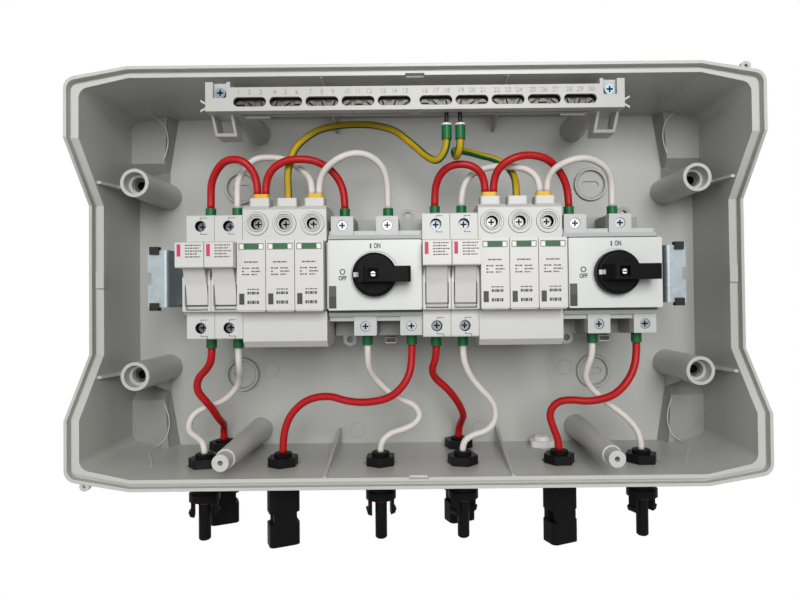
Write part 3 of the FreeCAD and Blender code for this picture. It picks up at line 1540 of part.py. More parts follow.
def make_ferrules():
    shapes = []
    for index in range(4):
        for side in (-1, 1):
            shapes.append(ferrule(fuse_middle(index), -wire_entry_front, side * (fuse_half - ferrule_seat),
                                  side))
    for index in range(2):
        for xs, side in ((switch_tower_up, 1), (switch_tower_down, -1)):
            for x in xs:
                shapes.append(ferrule(x + switch_shift(index), -wire_entry_front,
                                      side * (switch_tower_half - ferrule_seat), side))
    for x, y in earth_lead_spots():
        collar = rod_z(x, y, earth_collar_top - earth_collar_length, earth_collar_top, earth_collar_radius)
        sleeve_end = earth_low + earth_ledge + earth_sleeve_reach
        shapes.append(collar.fuse(rod_z(x, y, earth_collar_top, sleeve_end, earth_sleeve_radius)))
    return group(shapes)


def make_twin_ferrules():
    """Flat collars that bring two wires into one spout."""
    shapes = []
    top = surge_half + collar_height
    for index in range(2):
        for pole in (0, surge_modules - 1):
            x = surge_middle(index, pole)
            shape = rectangle(x - twin_width / 2, x + twin_width / 2, spout_y() - twin_depth / 2,
                              spout_y() + twin_depth / 2)
            shapes.append(prism_z(shape, top - spout_pocket, top + twin_height, twin_round))
    return group(shapes)


def wire_path(points):
    """Straight runs joined by tangent arcs, each as large as its two runs allow, with the arcs' radii."""
    edges = []
    radii = []
    last = points[0]
    for before, corner, after in zip(points, points[1:], points[2:]):
        run = min((before - corner).Length, (after - corner).Length)
        half_turn = (math.pi - (before - corner).getAngle(after - corner)) / 2
        radius = bend_share * run / math.tan(half_turn)
        start, middle, end = arc_at(corner, before, after, radius)
        edges.append(Part.LineSegment(last, start).toShape())
        edges.append(Part.Arc(start, middle, end).toShape())
        radii.append(round(radius, 1))
        last = end
    edges.append(Part.LineSegment(last, points[-1]).toShape())
    return Part.Wire(edges), radii


def wire(label, start, bends, end, diameter):
    """A round wire through its bends; each end is a point with the end of its straight lead."""
    points = list(start) + [Vector(*bend) for bend in bends] + [end[1], end[0]]
    path, radii = wire_path(points)
    ring = Part.Wire(Part.makeCircle(diameter / 2, points[0], points[1] - points[0]))
    tube = path.makePipeShell([ring], True, True)
    wanted = math.pi * diameter ** 2 / 4 * path.Length
    share = round(tube.Volume / wanted, 4)
    print(label, "length", round(path.Length, 1), "radii", radii, "volume share", share)
    return tube


def straight_end(x, y, z, lead):
    return Vector(x, y, z), Vector(x, y, z + lead)


def at_fuse(index, side):
    z = side * (fuse_half + ferrule_length)
    return straight_end(fuse_middle(index), -wire_entry_front, z, side * wire_lead)


def at_spout(index, pole, side, diameter):
    x = surge_middle(index, pole) + side * (diameter + wire_gap) / 2
    return straight_end(x, spout_y(), surge_half + collar_height + twin_height, wire_lead)


def at_surge_earth(index):
    z = surge_half + collar_height - spout_pocket
    return straight_end(surge_middle(index, 1), spout_y(), z, wire_lead)


def at_switch(index, xs, place, side):
    z = side * (switch_tower_half + ferrule_length)
    return straight_end(xs[place] + switch_shift(index), -wire_entry_front, z, side * wire_lead)


def at_entry(spot):
    return straight_end(spot[0], -spot[1], -stub_top, entry_lead)


def at_earth_bar(place):
    x, y = earth_lead_spots()[place]
    return straight_end(x, y, earth_collar_top - earth_collar_length, -earth_bar_leads[place])


def make_upper_red(index):
    """From the first fuse to the surge protector, and on from there to the switch."""
    first = wire("upper red", at_fuse(2 * index, 1), upper_red_bends[2 * index],
                 at_spout(index, 0, -1, red_wire), red_wire)
    second = wire("upper red", at_spout(index, 0, 1, red_wire), upper_red_bends[2 * index + 1],
                  at_switch(index, switch_tower_up, 0, 1), red_wire)
    return [first, second]


def make_upper_white(index):
    """From the second fuse to the surge protector's last pole, and on to the switch."""
    first = wire("upper white", at_fuse(2 * index + 1, 1), upper_white_bends[2 * index],
                 at_spout(index, 2, -1, white_wire), white_wire)
    second = wire("upper white", at_spout(index, 2, 1, white_wire), upper_white_bends[2 * index + 1],
                  at_switch(index, switch_tower_up, 1, 1), white_wire)
    return [first, second]


def make_earth_wire(index):
    return wire("earth", at_surge_earth(index), earth_bends[index], at_earth_bar(index), earth_wire)


def make_lower_red(index):
    """From the first fuse and from the switch down to their panel sockets."""
    first = wire("lower red", at_fuse(2 * index, -1), lower_red_bends[2 * index],
                 at_entry(socket_spots[2 * index]), red_wire)
    second = wire("lower red", at_switch(index, switch_tower_down, 1, -1), lower_red_bends[2 * index + 1],
                  at_entry(socket_spots[2 * index + 1]), red_wire)
    return group([first, second])


def make_lower_white(index):
    """From the second fuse and from the switch down to their panel plugs."""
    to_plugs = ((plug_spots[0], plug_spots[1]), (plug_spots[2], plug_spots[3]))[index]
    first = wire("lower white", at_fuse(2 * index + 1, -1), lower_white_bends[2 * index],
                 at_entry(to_plugs[0]), white_wire)
    second = wire("lower white", at_switch(index, switch_tower_down, 0, -1), lower_white_bends[2 * index + 1],
                  at_entry(to_plugs[1]), white_wire)
    return group([first, second])


def main():
    os.makedirs("parts", exist_ok=True)
    save("base_shell", make_case())
    save("din_rail", make_rail())
    bracket = make_bracket()
    save("rail_bracket_left", bracket)
    save("rail_bracket_right", mirror_x(bracket))
    save("bracket_clips", make_clips())
    save("bracket_screws", make_bracket_screws())
    for index in range(4):
        save("fuse_base_%d" % (index + 1), make_fuse_base(index))
        save("fuse_carrier_%d" % (index + 1), make_fuse_carrier(index))
        save("fuse_link_%d" % (index + 1), make_fuse_link(index))
    save("fuse_contacts", make_fuse_contacts())
    save("fuse_terminal_screws", make_fuse_terminal_screws())
    for index in range(2):
        save("surge_base_%d" % (index + 1), make_surge_base(index))
        for pole in range(surge_modules):
            save("surge_cartridge_%d" % (index * surge_modules + pole + 1), make_cartridge(index, pole))
        save("switch_body_%d" % (index + 1), make_switch_body(index))
        save("switch_face_%d" % (index + 1), make_switch_face(index))
        save("switch_handle_%d" % (index + 1), make_switch_handle(index))
        save("switch_spindle_%d" % (index + 1), make_switch_spindle(index))
        save("switch_rail_latch_%d" % (index + 1), make_switch_latch(index))
    save("surge_terminal_screws", make_surge_screws())
    save("switch_terminal_screws", make_switch_screws())
    save("earth_bar_carrier", make_earth_carrier())
    save("earth_busbar", make_earth_busbar())
    save("earth_bar_screws", make_earth_screws())
    save("earth_carrier_screws", make_earth_carrier_screws())
    save("panel_sockets", group([make_socket(x, y) for x, y in socket_spots]))
    save("panel_plugs", group([make_plug(x, y, turn) for (x, y), turn in zip(plug_spots, plug_turns)]))
    save("plug_seals", group([make_seal_ring(x, y) for x, y in plug_spots]))
    nuts = [make_nut(x, y, nut_turns[k % len(nut_turns)])
            for k, (x, y) in enumerate(socket_spots + plug_spots)]
    save("connector_nuts", group(nuts))
    save("vent_plug", make_vent())
    save("ferrules", make_ferrules())
    save("twin_ferrules", make_twin_ferrules())
    save("upper_red_links", group(make_upper_red(0) + make_upper_red(1)))
    save("upper_white_links", group(make_upper_white(0) + make_upper_white(1)))
    save("earth_wires", group([make_earth_wire(0), make_earth_wire(1)]))
    for index in range(2):
        save("lower_red_wires_%d" % (index + 1), make_lower_red(index))
        save("lower_white_wires_%d" % (index + 1), make_lower_white(index))


main()
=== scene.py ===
"""Open solar combiner box: its finishes, printing, cables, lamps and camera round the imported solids."""
import math

import bmesh
import bpy
from mathutils import Matrix, Vector


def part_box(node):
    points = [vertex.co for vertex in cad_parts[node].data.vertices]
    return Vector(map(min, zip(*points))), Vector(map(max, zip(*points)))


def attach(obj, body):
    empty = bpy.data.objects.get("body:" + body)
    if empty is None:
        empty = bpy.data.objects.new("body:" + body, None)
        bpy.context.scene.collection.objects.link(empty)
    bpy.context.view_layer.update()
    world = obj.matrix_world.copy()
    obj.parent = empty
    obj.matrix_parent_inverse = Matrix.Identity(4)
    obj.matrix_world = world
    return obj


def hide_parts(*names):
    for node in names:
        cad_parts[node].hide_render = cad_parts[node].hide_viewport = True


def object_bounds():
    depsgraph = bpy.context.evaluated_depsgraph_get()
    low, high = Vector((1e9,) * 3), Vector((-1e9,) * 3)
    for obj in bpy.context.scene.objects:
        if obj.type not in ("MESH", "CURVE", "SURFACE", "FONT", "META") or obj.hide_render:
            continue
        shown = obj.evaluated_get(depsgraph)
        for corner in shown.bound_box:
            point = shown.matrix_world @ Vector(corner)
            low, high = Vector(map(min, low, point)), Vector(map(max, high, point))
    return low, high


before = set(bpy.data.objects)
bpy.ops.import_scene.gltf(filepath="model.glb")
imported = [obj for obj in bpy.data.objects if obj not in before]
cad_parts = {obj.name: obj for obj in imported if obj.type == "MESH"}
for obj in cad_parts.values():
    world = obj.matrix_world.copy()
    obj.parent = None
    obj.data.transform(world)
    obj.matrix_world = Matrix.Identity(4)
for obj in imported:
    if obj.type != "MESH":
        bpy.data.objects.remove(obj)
cad_low, cad_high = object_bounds()

bl_info = {
    "name": "Solar combiner box",
    "version": (1, 0, 0),
    "blender": (4, 5, 0),
    "location": "View3D > Sidebar > Combiner box",
    "description": "Finishes, printing, cables and a studio for an open solar combiner box",
    "category": "Object",
}

mm = 0.001
image_width = 800
image_height = 600
sensor_width = 36.0
white_light = (1.0, 1.0, 1.0, 1.0)


# Solids that come in numbers, and where the frame has them
def numbered(name, count):
    return ["%s_%d" % (name, place + 1) for place in range(count)]


fuse_bases = numbered("fuse_base", 4)
carriers = numbered("fuse_carrier", 4)
cartridges = numbered("surge_cartridge", 6)
handles = numbered("switch_handle", 2)
faces = numbered("switch_face", 2)
spindles = numbered("switch_spindle", 2)
latches = numbered("switch_rail_latch", 2)


def corners(node):
    """The two corners of a solid's box, in millimetres."""
    low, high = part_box(node)
    return low / mm, high / mm


def middle(node):
    low, high = corners(node)
    return (low + high) / 2


# Places on the solids as their source has them, in millimetres
tube = (191.0, 65.6)
knockout = (135.0, 72.0)
ejector_pins = ((113.0, 69.0), (47.0, 115.7))
back_wall = -3.0
device_front = -87.0
cheek_front = -94.0
fuse_screw_z = 32.3
surge_screw_z = 33.5

# The cables' ends, in millimetres
terminal_y = -67.0
spout_y = -74.0
collar_reach = 7.0
lead_length = 8.0
entry_lead = 6.0
gland_top = -119.0
switch_collar_end = 45.3
surge_earth_end = 48.0
cable_gap = 0.4
towers_up = (-21.6, 7.3)
towers_down = (-7.2, 22.2)
socket_spots = ((-146.0, -15.0), (-92.5, -56.0), (30.0, -15.0), (95.7, -56.0))
plug_spots = ((-146.0, -56.0), (-26.0, -56.0), (30.0, -56.0), (151.7, -56.0))
earth_bar_ends = ((19.8, 6.0), (28.4, 4.5))
earth_bar_y = -88.75
earth_collar_low = 85.5
ring_low = 94.3
sleeve_low = 95.6

# Points that each cable passes between its straight leads, in millimetres
upper_red_bends = (
    ((-136, -69, 64), (-131, -72, 72), (-124, -76, 77), (-114, -78, 77), (-107, -76, 71)),
    ((-94, -76, 71), (-85, -77, 76), (-75, -77, 77), (-65, -75, 76), (-56, -71, 71), (-50, -68, 63)),
    ((14, -70, 64), (20, -75, 71), (30, -77, 73), (40, -77, 70)),
    ((55, -78, 71), (64, -80, 76), (74, -78, 78), (85, -77, 76), (93, -72, 71), (99, -69, 63)))
upper_white_bends = (
    ((-120, -64, 65), (-117, -60, 74), (-110, -58, 82), (-99, -57, 83), (-89, -59, 81), (-80, -62, 75),
     (-73, -68, 69)),
    ((-59, -78, 70), (-50, -82, 76), (-40, -80, 80), (-30, -77, 79), (-22, -73, 73), (-19, -69, 64)),
    ((34, -65, 65), (42, -65, 71), (53, -67, 73), (64, -70, 72), (74, -72, 70)),
    ((90, -79, 69), (99, -82, 73), (108, -81, 75), (117, -77, 74), (125, -74, 70), (130, -69, 63)))
earth_bends = (
    ((-85, -71, 66), (-84, -69, 77), (-80, -68, 87), (-73, -66, 94), (-65, -63, 100), (-54, -61, 103),
     (-44, -60, 104), (-33, -60, 104), (-23, -62, 102), (-13, -65, 98), (-6, -69, 91), (1, -74, 84), (7, -79, 77),
     (14, -85, 72)),
    ((66, -69, 64), (65, -62, 70), (62, -57, 76), (54, -55, 81), (45, -55, 83), (36, -58, 85), (28, -66, 84),
     (25, -74, 82), (26, -80, 76), (27, -86, 77)))
lower_red_bends = (
    ((-142, -62, -61), (-149, -59, -67), (-151, -57, -76), (-146, -53, -84), (-143, -47, -91), (-142, -40, -98),
     (-142, -31, -103), (-144, -21, -106)),
    ((-5, -69, -64), (-10, -70, -73), (-18, -69, -80), (-28, -67, -83), (-39, -65, -84), (-49, -63, -83),
     (-59, -61, -80), (-70, -59, -81), (-79, -57, -85), (-87, -56, -93), (-91, -56, -102)),
    ((9, -61, -63), (12, -55, -70), (20, -51, -77), (26, -45, -85), (30, -39, -92), (33, -31, -100), (32, -22, -105)),
    ((143, -69, -63), (138, -71, -71), (131, -70, -79), (123, -67, -83), (113, -64, -85), (103, -61, -84),
     (94, -58, -86), (89, -56, -94), (92, -56, -104)))
lower_white_bends = (
    ((-120, -62, -62), (-122, -55, -67), (-125, -49, -74), (-131, -46, -81), (-138, -44, -86), (-147, -42, -89),
     (-155, -41, -92), (-161, -43, -98), (-160, -48, -106), (-152, -52, -109)),
    ((-33, -63, -61), (-30, -57, -68), (-25, -54, -74), (-19, -52, -80), (-11, -50, -85), (-3, -49, -88),
     (2, -49, -96), (-3, -50, -102), (-11, -52, -105), (-20, -54, -107)),
    ((33, -65, -63), (37, -62, -70), (43, -61, -77), (49, -59, -83), (53, -57, -91), (52, -56, -100), (46, -56, -106),
     (37, -56, -108)),
    ((114, -64, -61), (113, -60, -69), (117, -57, -76), (123, -56, -82), (130, -54, -88), (137, -54, -93),
     (143, -55, -98), (149, -55, -105)))


def grey(value):
    return (value, value, value)


# Settings that a user would change
def length(name, description, default):
    return bpy.props.FloatProperty(name=name, description=description, default=default, unit="LENGTH")


def colour(name, description, default):
    return bpy.props.FloatVectorProperty(name=name, description=description, default=default,
                                         subtype="COLOR", size=3, min=0.0, max=1.0)


def number(name, description, default, **kind):
    return bpy.props.FloatProperty(name=name, description=description, default=default, **kind)


class StudioSettings(bpy.types.PropertyGroup):
    """Camera, lamps and floor."""

    lens: number("Lens", "Focal length on a sensor 36 mm wide", 27.0, unit="CAMERA")
    distance: length("Distance", "From the lens to the wall behind the box", 0.467)
    drop: length("Drop", "How far the lens is below the middle of the wall fixings", 0.0082)
    lean: number("Lean", "How far the top of the box leans away", math.radians(0.86), subtype="ANGLE")
    roll: number("Roll", "How far the box is turned in the picture", math.radians(0.6), subtype="ANGLE")
    centre: bpy.props.FloatVectorProperty(name="Centre", description="Where the lens points, in pixels",
                                          default=(417.0, 290.0), size=2)
    key_power: number("Key lamp", "Power of the large lamp in front, above the lens", 16.5, unit="POWER")
    fill_power: number("Fill lamp", "Power of the lamp on the left", 3.0, unit="POWER")
    sky: number("Sky", "Strength of the light from all round", 0.15)
    floor_gap: length("Floor gap", "From the lowest connector down to the floor", 0.10)
    floor_white: number("Floor white", "Share of the floor that is plain white to the lens", 1.0,
                        subtype="FACTOR")


class PlasticSettings(bpy.types.PropertyGroup):
    """Colours of the moulded pieces."""

    case: colour("Case", "Light warm grey of the case", (0.545, 0.55, 0.515))
    device: colour("Devices", "Off-white of the fuse holders and protectors", (0.56, 0.56, 0.54))
    carrier: colour("Drawers", "Slightly warmer white of the fuse drawers", (0.61, 0.605, 0.58))
    switch: colour("Switch bodies", "Grey of the switches behind their faces", (0.48, 0.49, 0.475))
    face: colour("Switch faces", "White of the switches' fronts", (0.62, 0.63, 0.615))
    rail_grey: colour("Earth bar carrier", "Light grey of the earth bar's carrier", (0.46, 0.46, 0.44))
    black: colour("Black", "Black of knobs and connectors", (0.007, 0.007, 0.0075))
    grain: length("Grain", "Size of the moulded surface's grain", 0.0007)


class CableSettings(bpy.types.PropertyGroup):
    """Sizes and colours of the cables and their ferrules."""

    red_diameter: length("Red diameter", "Outer diameter of a red cable", 0.005)
    white_diameter: length("White diameter", "Outer diameter of a white cable", 0.0044)
    earth_diameter: length("Earth diameter", "Outer diameter of an earth cable", 0.0048)
    red: colour("Red", "Sheath of the positive cables", (0.42, 0.006, 0.008))
    white: colour("White", "Sheath of the negative cables", (0.68, 0.635, 0.60))
    yellow: colour("Yellow", "Main colour of the earth cables", (0.44, 0.29, 0.006))
    stripe: colour("Stripe", "Stripe of the earth cables", (0.006, 0.10, 0.022))
    collar: colour("Collars", "Green collars of the ferrules", (0.003, 0.115, 0.032))
    twin_collar: colour("Twin collars", "Yellow collars of the flat ferrules", (0.70, 0.42, 0.03))


class PrintSettings(bpy.types.PropertyGroup):
    """Printing and lettering."""

    ink: colour("Ink", "Dark grey printing", grey(0.02))
    pale_ink: colour("Pale ink", "Fine printing, grey from a step away", grey(0.04))
    window: colour("Window", "Green state window of a cartridge", (0.004, 0.085, 0.02))
    plate: colour("Plate", "Plain dark plate on a switch face", grey(0.055))
    thickness: length("Thickness", "Thickness of the printing", 0.00006)
    digit_height: length("Digit height", "Height of the numbers on the earth bar", 0.0030)
    digit_rise: length("Digit rise", "How far those numbers stand out", 0.0003)


# Shader maths
def maths(operation, swapped=False):
    """A method of Signal that adds one maths node."""

    def work(self, other=0.0):
        values = (other, self) if swapped else (self, other)
        return self.wiring.node("ShaderNodeMath", {"operation": operation}, dict(enumerate(values)))

    return work


class Signal:
    """One value over a surface. Arithmetic on it adds the nodes that work it out."""

    def __init__(self, wiring, socket):
        self.wiring = wiring
        self.socket = socket

    __add__ = __radd__ = maths("ADD")
    __mul__ = __rmul__ = maths("MULTIPLY")
    __sub__ = maths("SUBTRACT")
    __rsub__ = maths("SUBTRACT", swapped=True)
    __lt__ = maths("LESS_THAN")
    __gt__ = maths("GREATER_THAN")
    __abs__ = maths("ABSOLUTE")
    at_most = maths("MINIMUM")


class Wiring:
    """The nodes of a material or of the sky."""

    def __init__(self, tree):
        self.tree = tree

    def node(self, kind, settings=None, inputs=None, output=0):
        """Add one node: its settings first, then the values or links of its sockets."""
        made = self.tree.nodes.new(kind)
        for name, value in (settings or {}).items():
            setattr(made, name, value)
        for socket, value in (inputs or {}).items():
            if isinstance(value, Signal):
                self.tree.links.new(value.socket, made.inputs[socket])
            else:
                made.inputs[socket].default_value = value
        return Signal(self, made.outputs[output])

    def seen_directly(self):
        """One where the lens, a reflection or a view through glass meets the surface."""
        camera = self.node("ShaderNodeLightPath", output="Is Camera Ray")
        glossy = self.node("ShaderNodeLightPath", output="Is Glossy Ray")
        through = self.node("ShaderNodeLightPath", output="Is Transmission Ray")
        return (camera + glossy + through).at_most(1.0)


class Finish(Wiring):
    """A material on the usual surface shader."""

    def __init__(self, name, constants):
        self.material = bpy.data.materials.new(name)
        self.material.use_nodes = True
        super().__init__(self.material.node_tree)
        self.shader = self.tree.nodes["Principled BSDF"]
        for socket, value in constants.items():
            self.feed(socket, value)

    def feed(self, socket, value):
        if isinstance(value, Signal):
            self.tree.links.new(value.socket, self.shader.inputs[socket])
        else:
            self.shader.inputs[socket].default_value = value

    def place(self):
        return self.node("ShaderNodeTexCoord", output="Object")

    def along(self, axis):
        return self.node("ShaderNodeSeparateXYZ", None, {0: self.place()}, output=axis)

    def noise(self, size, detail=2.0, stretch=(1.0, 1.0, 1.0)):
        """Soft random values from 0 to 1 with features of about that size."""
        where = self.node("ShaderNodeMapping", None, {"Vector": self.place(), "Scale": stretch})
        return self.node("ShaderNodeTexNoise", None, {"Vector": where, "Scale": 1.0 / size, "Detail": detail})

    def cells(self, size, output):
        return self.node("ShaderNodeTexVoronoi", None, {"Vector": self.place(), "Scale": 1.0 / size}, output)

    def blend(self, share, first, second):
        """A colour between two others, by the colour sockets of a Mix node."""
        first, second = (part if isinstance(part, Signal) else (*part, 1.0) for part in (first, second))
        return self.node("ShaderNodeMix", {"data_type": "RGBA"}, {0: share, 6: first, 7: second}, output=2)

    def paint(self, share, shade):
        """Lay another colour over the base colour, as far as the share says."""
        plain = Signal(self, self.shader.inputs["Base Color"].links[0].from_socket)
        self.feed("Base Color", self.blend(share, plain, shade))

    def relief(self, height, depth, edge):
        """A fine relief over edges that are rounded to the eye."""
        softened = self.node("ShaderNodeBevel", {"samples": 4}, {"Radius": edge})
        raised = self.node("ShaderNodeBump", None, {"Strength": 1.0, "Distance": depth, "Height": height,
                                                     "Normal": softened})
        self.feed("Normal", raised)


def toned(shade, factor):
    return tuple(min(1.0, part * factor) for part in shade)


def moulded(name, shade, roughness=0.42, mottle=0.035, depth=0.012 * mm, edge=0.35 * mm, shine=0.5):
    """Moulded plastic: slow patches of tone, a fine grain and edges that catch the light."""
    finish = Finish(name, {"Specular IOR Level": shine})
    cloud = finish.noise(50 * mm, 4.0)
    speck = finish.noise(bpy.context.scene.combiner_plastics.grain)
    mixed = 0.75 * cloud + 0.25 * speck
    finish.feed("Base Color", finish.blend(mixed, toned(shade, 1.0 - mottle), toned(shade, 1.0 + mottle)))
    finish.feed("Roughness", roughness - 0.06 + 0.12 * cloud)
    finish.relief(speck, depth, edge)
    return finish


def between(value, low, high):
    """One where a value lies between two limits in millimetres."""
    return (value > low * mm) * (value < high * mm)


def near_axis(finish, spot, radius):
    """One within a distance of an axis along Y, in millimetres; both count from the middle of the box."""
    across = abs(finish.along("X")) - spot[0] * mm
    up = abs(finish.along("Z")) - spot[1] * mm
    return across * across + up * up < (radius * mm) ** 2


def ring_round(finish, spot, inner, outer):
    """One between two distances of an axis along Y."""
    return near_axis(finish, spot, outer) - near_axis(finish, spot, inner)


# On the case, in millimetres: where painted shade sets in, the rings round pins, the painted shade rings round
# knockouts, the tubes' bores
shade_depths = (-78.0, -45.0)
pin_ring = (5.6, 6.0)
knockout_rings = ((9.6, 10.9), (12.5, 13.5))
bore_radius = 5.06
bore_front = -6.9


def case_plastic(plastics):
    """The case's plastic: painted shade that deepens inwards, painted shade in the bores and round the knockouts, and
    the marks of ejector pins.
    """
    finish = moulded("case_plastic", plastics.case, 0.34, 0.03, 0.02 * mm, 0.5 * mm)
    depth = finish.along("Y")
    start, end = shade_depths
    # Painted shade: the case's colour darkens by up to half from the rim inwards
    limits = {0: depth, "From Min": start * mm, "From Max": end * mm, "To Min": 0.0, "To Max": 0.5}
    finish.paint(finish.node("ShaderNodeMapRange", None, limits), toned(plastics.case, 0.5))
    pins = [ring_round(finish, spot, *pin_ring) for spot in ejector_pins]
    low_pins = (pins[0] + pins[1]) * (finish.along("Z") < 0.0)
    # Painted shade: darker rings inside and outside each knockout's raised rim; the thin rings round the lower
    # ejector pins are real marks
    knockout_shade = [ring_round(finish, knockout, *ring) for ring in knockout_rings]
    on_back = between(depth, back_wall - 0.3, back_wall + 0.3)
    finish.paint((low_pins * 0.6 + (knockout_shade[0] + knockout_shade[1]) * 0.55) * on_back, toned(plastics.case, 0.3))
    # Painted shade: the fixing tubes' bores are coloured near black behind their front
    bore = near_axis(finish, tube, bore_radius) * (depth < bore_front * mm)
    finish.paint(bore, toned(plastics.case, 0.05))
    return finish


def zinc_sheet():
    """Galvanised sheet with a faint spangle."""
    finish = Finish("zinc_sheet", {"Metallic": 0.7})
    flake = finish.cells(3.5 * mm, "Color")
    tone = finish.node("ShaderNodeSeparateColor", None, {0: flake})
    finish.feed("Base Color", finish.blend(tone, (0.25, 0.29, 0.305), (0.30, 0.34, 0.355)))
    finish.feed("Roughness", 0.42 + 0.08 * tone)
    finish.relief(finish.noise(0.8 * mm, 3.0), 0.01 * mm, 0.2 * mm)
    return finish


# How far a screw head keeps its metal colour behind its top before painted shade sets in, in millimetres, and the
# weak reflections of soft plastic
screw_rim = 0.12
satin = {"Specular IOR Level": 0.25}


def plated(name, shade, roughness=0.28, edge=0.15 * mm, top=None):
    """Plated or turned metal with small scratches, painted shade from just behind a screw head's top."""
    finish = Finish(name, {"Metallic": 1.0})
    scratch = finish.noise(0.35 * mm, 3.0, (1.0, 1.0, 6.0))
    cloud = finish.noise(2.5 * mm)
    metal = finish.blend(cloud, toned(shade, 0.82), toned(shade, 1.08))
    finish.feed("Base Color", metal)
    if top is not None:
        # Painted shade: near black behind the head's top, over its cross recess and round its sides in the well
        finish.paint(finish.along("Y") > (top + screw_rim) * mm, toned(shade, 0.04))
    finish.feed("Roughness", roughness - 0.06 + 0.16 * scratch)
    finish.relief(scratch, 0.006 * mm, edge)
    return finish


def shaft_steel():
    """The knobs' shafts: near black as painted shade of the knob's recess, but for the small bright screw in the
    middle.
    """
    finish = plated("shaft_steel", grey(0.40), 0.35, top=-111.0)
    screws = [near_axis(finish, (abs(middle(spindle).x), 0.0), 1.5) for spindle in spindles]
    # Painted shade: the shaft is near black, as the shade in the knob's recess, except for the screw in the middle
    finish.paint(1.0 - (screws[0] + screws[1]), grey(0.004))
    return finish


def sheath(name, shade, roughness=0.34):
    """A cable's extruded sheath: slow changes of tone along it and a fine grain."""
    finish = Finish(name, satin)
    cloud = finish.noise(12 * mm, 3.0)
    speck = finish.noise(0.4 * mm)
    finish.feed("Base Color", finish.blend(cloud, toned(shade, 0.92), toned(shade, 1.06)))
    finish.feed("Roughness", roughness + 0.10 * speck)
    finish.relief(speck, 0.006 * mm, 0.1 * mm)
    return finish


def striped_sheath(cables):
    """The earth cable's sheath: a green stripe along the yellow, by the angle round the cable."""
    finish = Finish("earth_sheath", satin)
    angle = finish.node("ShaderNodeSeparateXYZ", None, {0: finish.node("ShaderNodeTexCoord", output="UV")})
    stripe = abs(abs(angle - 0.5) - 0.25) < 0.11
    cloud = finish.noise(12 * mm, 3.0)
    yellow = finish.blend(cloud, toned(cables.yellow, 0.88), toned(cables.yellow, 1.10))
    green = finish.blend(cloud, toned(cables.stripe, 0.85), toned(cables.stripe, 1.15))
    finish.feed("Base Color", finish.blend(stripe, yellow, green))
    finish.feed("Roughness", 0.36 + 0.08 * cloud)
    finish.relief(finish.noise(0.4 * mm), 0.006 * mm, 0.1 * mm)
    return finish


def ferrule_finish(cables):
    """Green collars; over the earth bar's collars a white ring and the bare crimped sleeve."""
    finish = Finish("ferrule_collar", satin)
    height = finish.along("Z")
    ring = height > ring_low * mm
    sleeve = height > sleeve_low * mm
    cloud = finish.noise(4.0 * mm)
    green = finish.blend(cloud, toned(cables.collar, 0.85), toned(cables.collar, 1.2))
    collared = finish.blend(ring, green, (0.72, 0.74, 0.70))
    finish.feed("Base Color", finish.blend(sleeve, collared, grey(0.02)))
    finish.feed("Metallic", sleeve * 0.9)
    finish.feed("Roughness", 0.34 + 0.1 * cloud)
    finish.relief(finish.noise(0.5 * mm), 0.01 * mm, 0.3 * mm)
    return finish


def ink(name, shade):
    """Printing ink with slightly uneven cover."""
    finish = Finish(name, {})
    cloud = finish.noise(0.6 * mm)
    finish.feed("Base Color", finish.blend(cloud, toned(shade, 0.8), toned(shade, 1.25)))
    finish.feed("Roughness", 0.5 + 0.1 * cloud)
    return finish


# Making pieces
def dress(finish, *nodes):
    """Give solids from the frame a finish."""
    for name in nodes:
        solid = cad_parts[name]
        solid.data.materials.clear()
        solid.data.materials.append(finish.material)


def add_object(name, data):
    made = bpy.data.objects.new(name, data)
    bpy.context.scene.collection.objects.link(made)
    return made


def mesh_of(curve):
    """The mesh that a curve or a text makes, which is then removed."""
    holder = bpy.data.objects.new("holder", curve)
    mesh = bpy.data.meshes.new_from_object(holder)
    bpy.data.objects.remove(holder)
    bpy.data.curves.remove(curve)
    return mesh


def add_piece(name, form, finish, body="case", smooth=False):
    """Turn a bmesh into a piece that rides on a body."""
    bmesh.ops.recalc_face_normals(form, faces=form.faces)
    mesh = bpy.data.meshes.new(name)
    form.to_mesh(mesh)
    form.free()
    mesh.materials.append(finish.material)
    mesh.polygons.foreach_set("use_smooth", [smooth] * len(mesh.polygons))
    piece = add_object(name, mesh)
    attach(piece, body)
    return piece


def slab(form, low, high):
    """Add a box between two corners, in millimetres."""
    low = Vector(low) * mm
    high = Vector(high) * mm
    points = [form.verts.new((x, y, z)) for x in (low.x, high.x) for y in (low.y, high.y) for z in (low.z, high.z)]
    for ring in ((0, 1, 3, 2), (4, 6, 7, 5), (0, 4, 5, 1), (2, 3, 7, 6), (0, 2, 6, 4), (1, 5, 7, 3)):
        form.faces.new([points[place] for place in ring])


def bridge(form, ring, following):
    """Join two rings of corners with faces."""
    quads = zip(ring, ring[1:] + ring[:1], following[1:] + following[:1], following)
    return [form.faces.new(quad) for quad in quads]


def bar_along_z(form, profile, low, high):
    """Add a straight bar along Z with an outline of x, y pairs, in millimetres."""
    rings = [[form.verts.new(Vector((x, y, z)) * mm) for x, y in profile] for z in (low, high)]
    bridge(form, *rings)
    form.faces.new(reversed(rings[0]))
    form.faces.new(rings[1])


# How far printing reaches into what it is on, in millimetres
print_root = 0.02
dashes = (1.3, 0.8, 1.7, 0.6)
dash_gap = 0.35


def printed_bar(form, x, z, width, height, front, rise=None):
    """Add a flat bar whose lower left corner is at x, z on a front surface."""
    rise = rise or bpy.context.scene.combiner_printing.thickness / mm
    slab(form, (x, front - rise, z), (x + width, front + print_root, z + height))


def printed_bars(form, x, z, bars, front, make=printed_bar, *rise):
    """Add bars given as left, low, width and height, with left and low counted from x, z."""
    for left, low, width, height in bars:
        make(form, x + left, z + low, width, height, front, *rise)


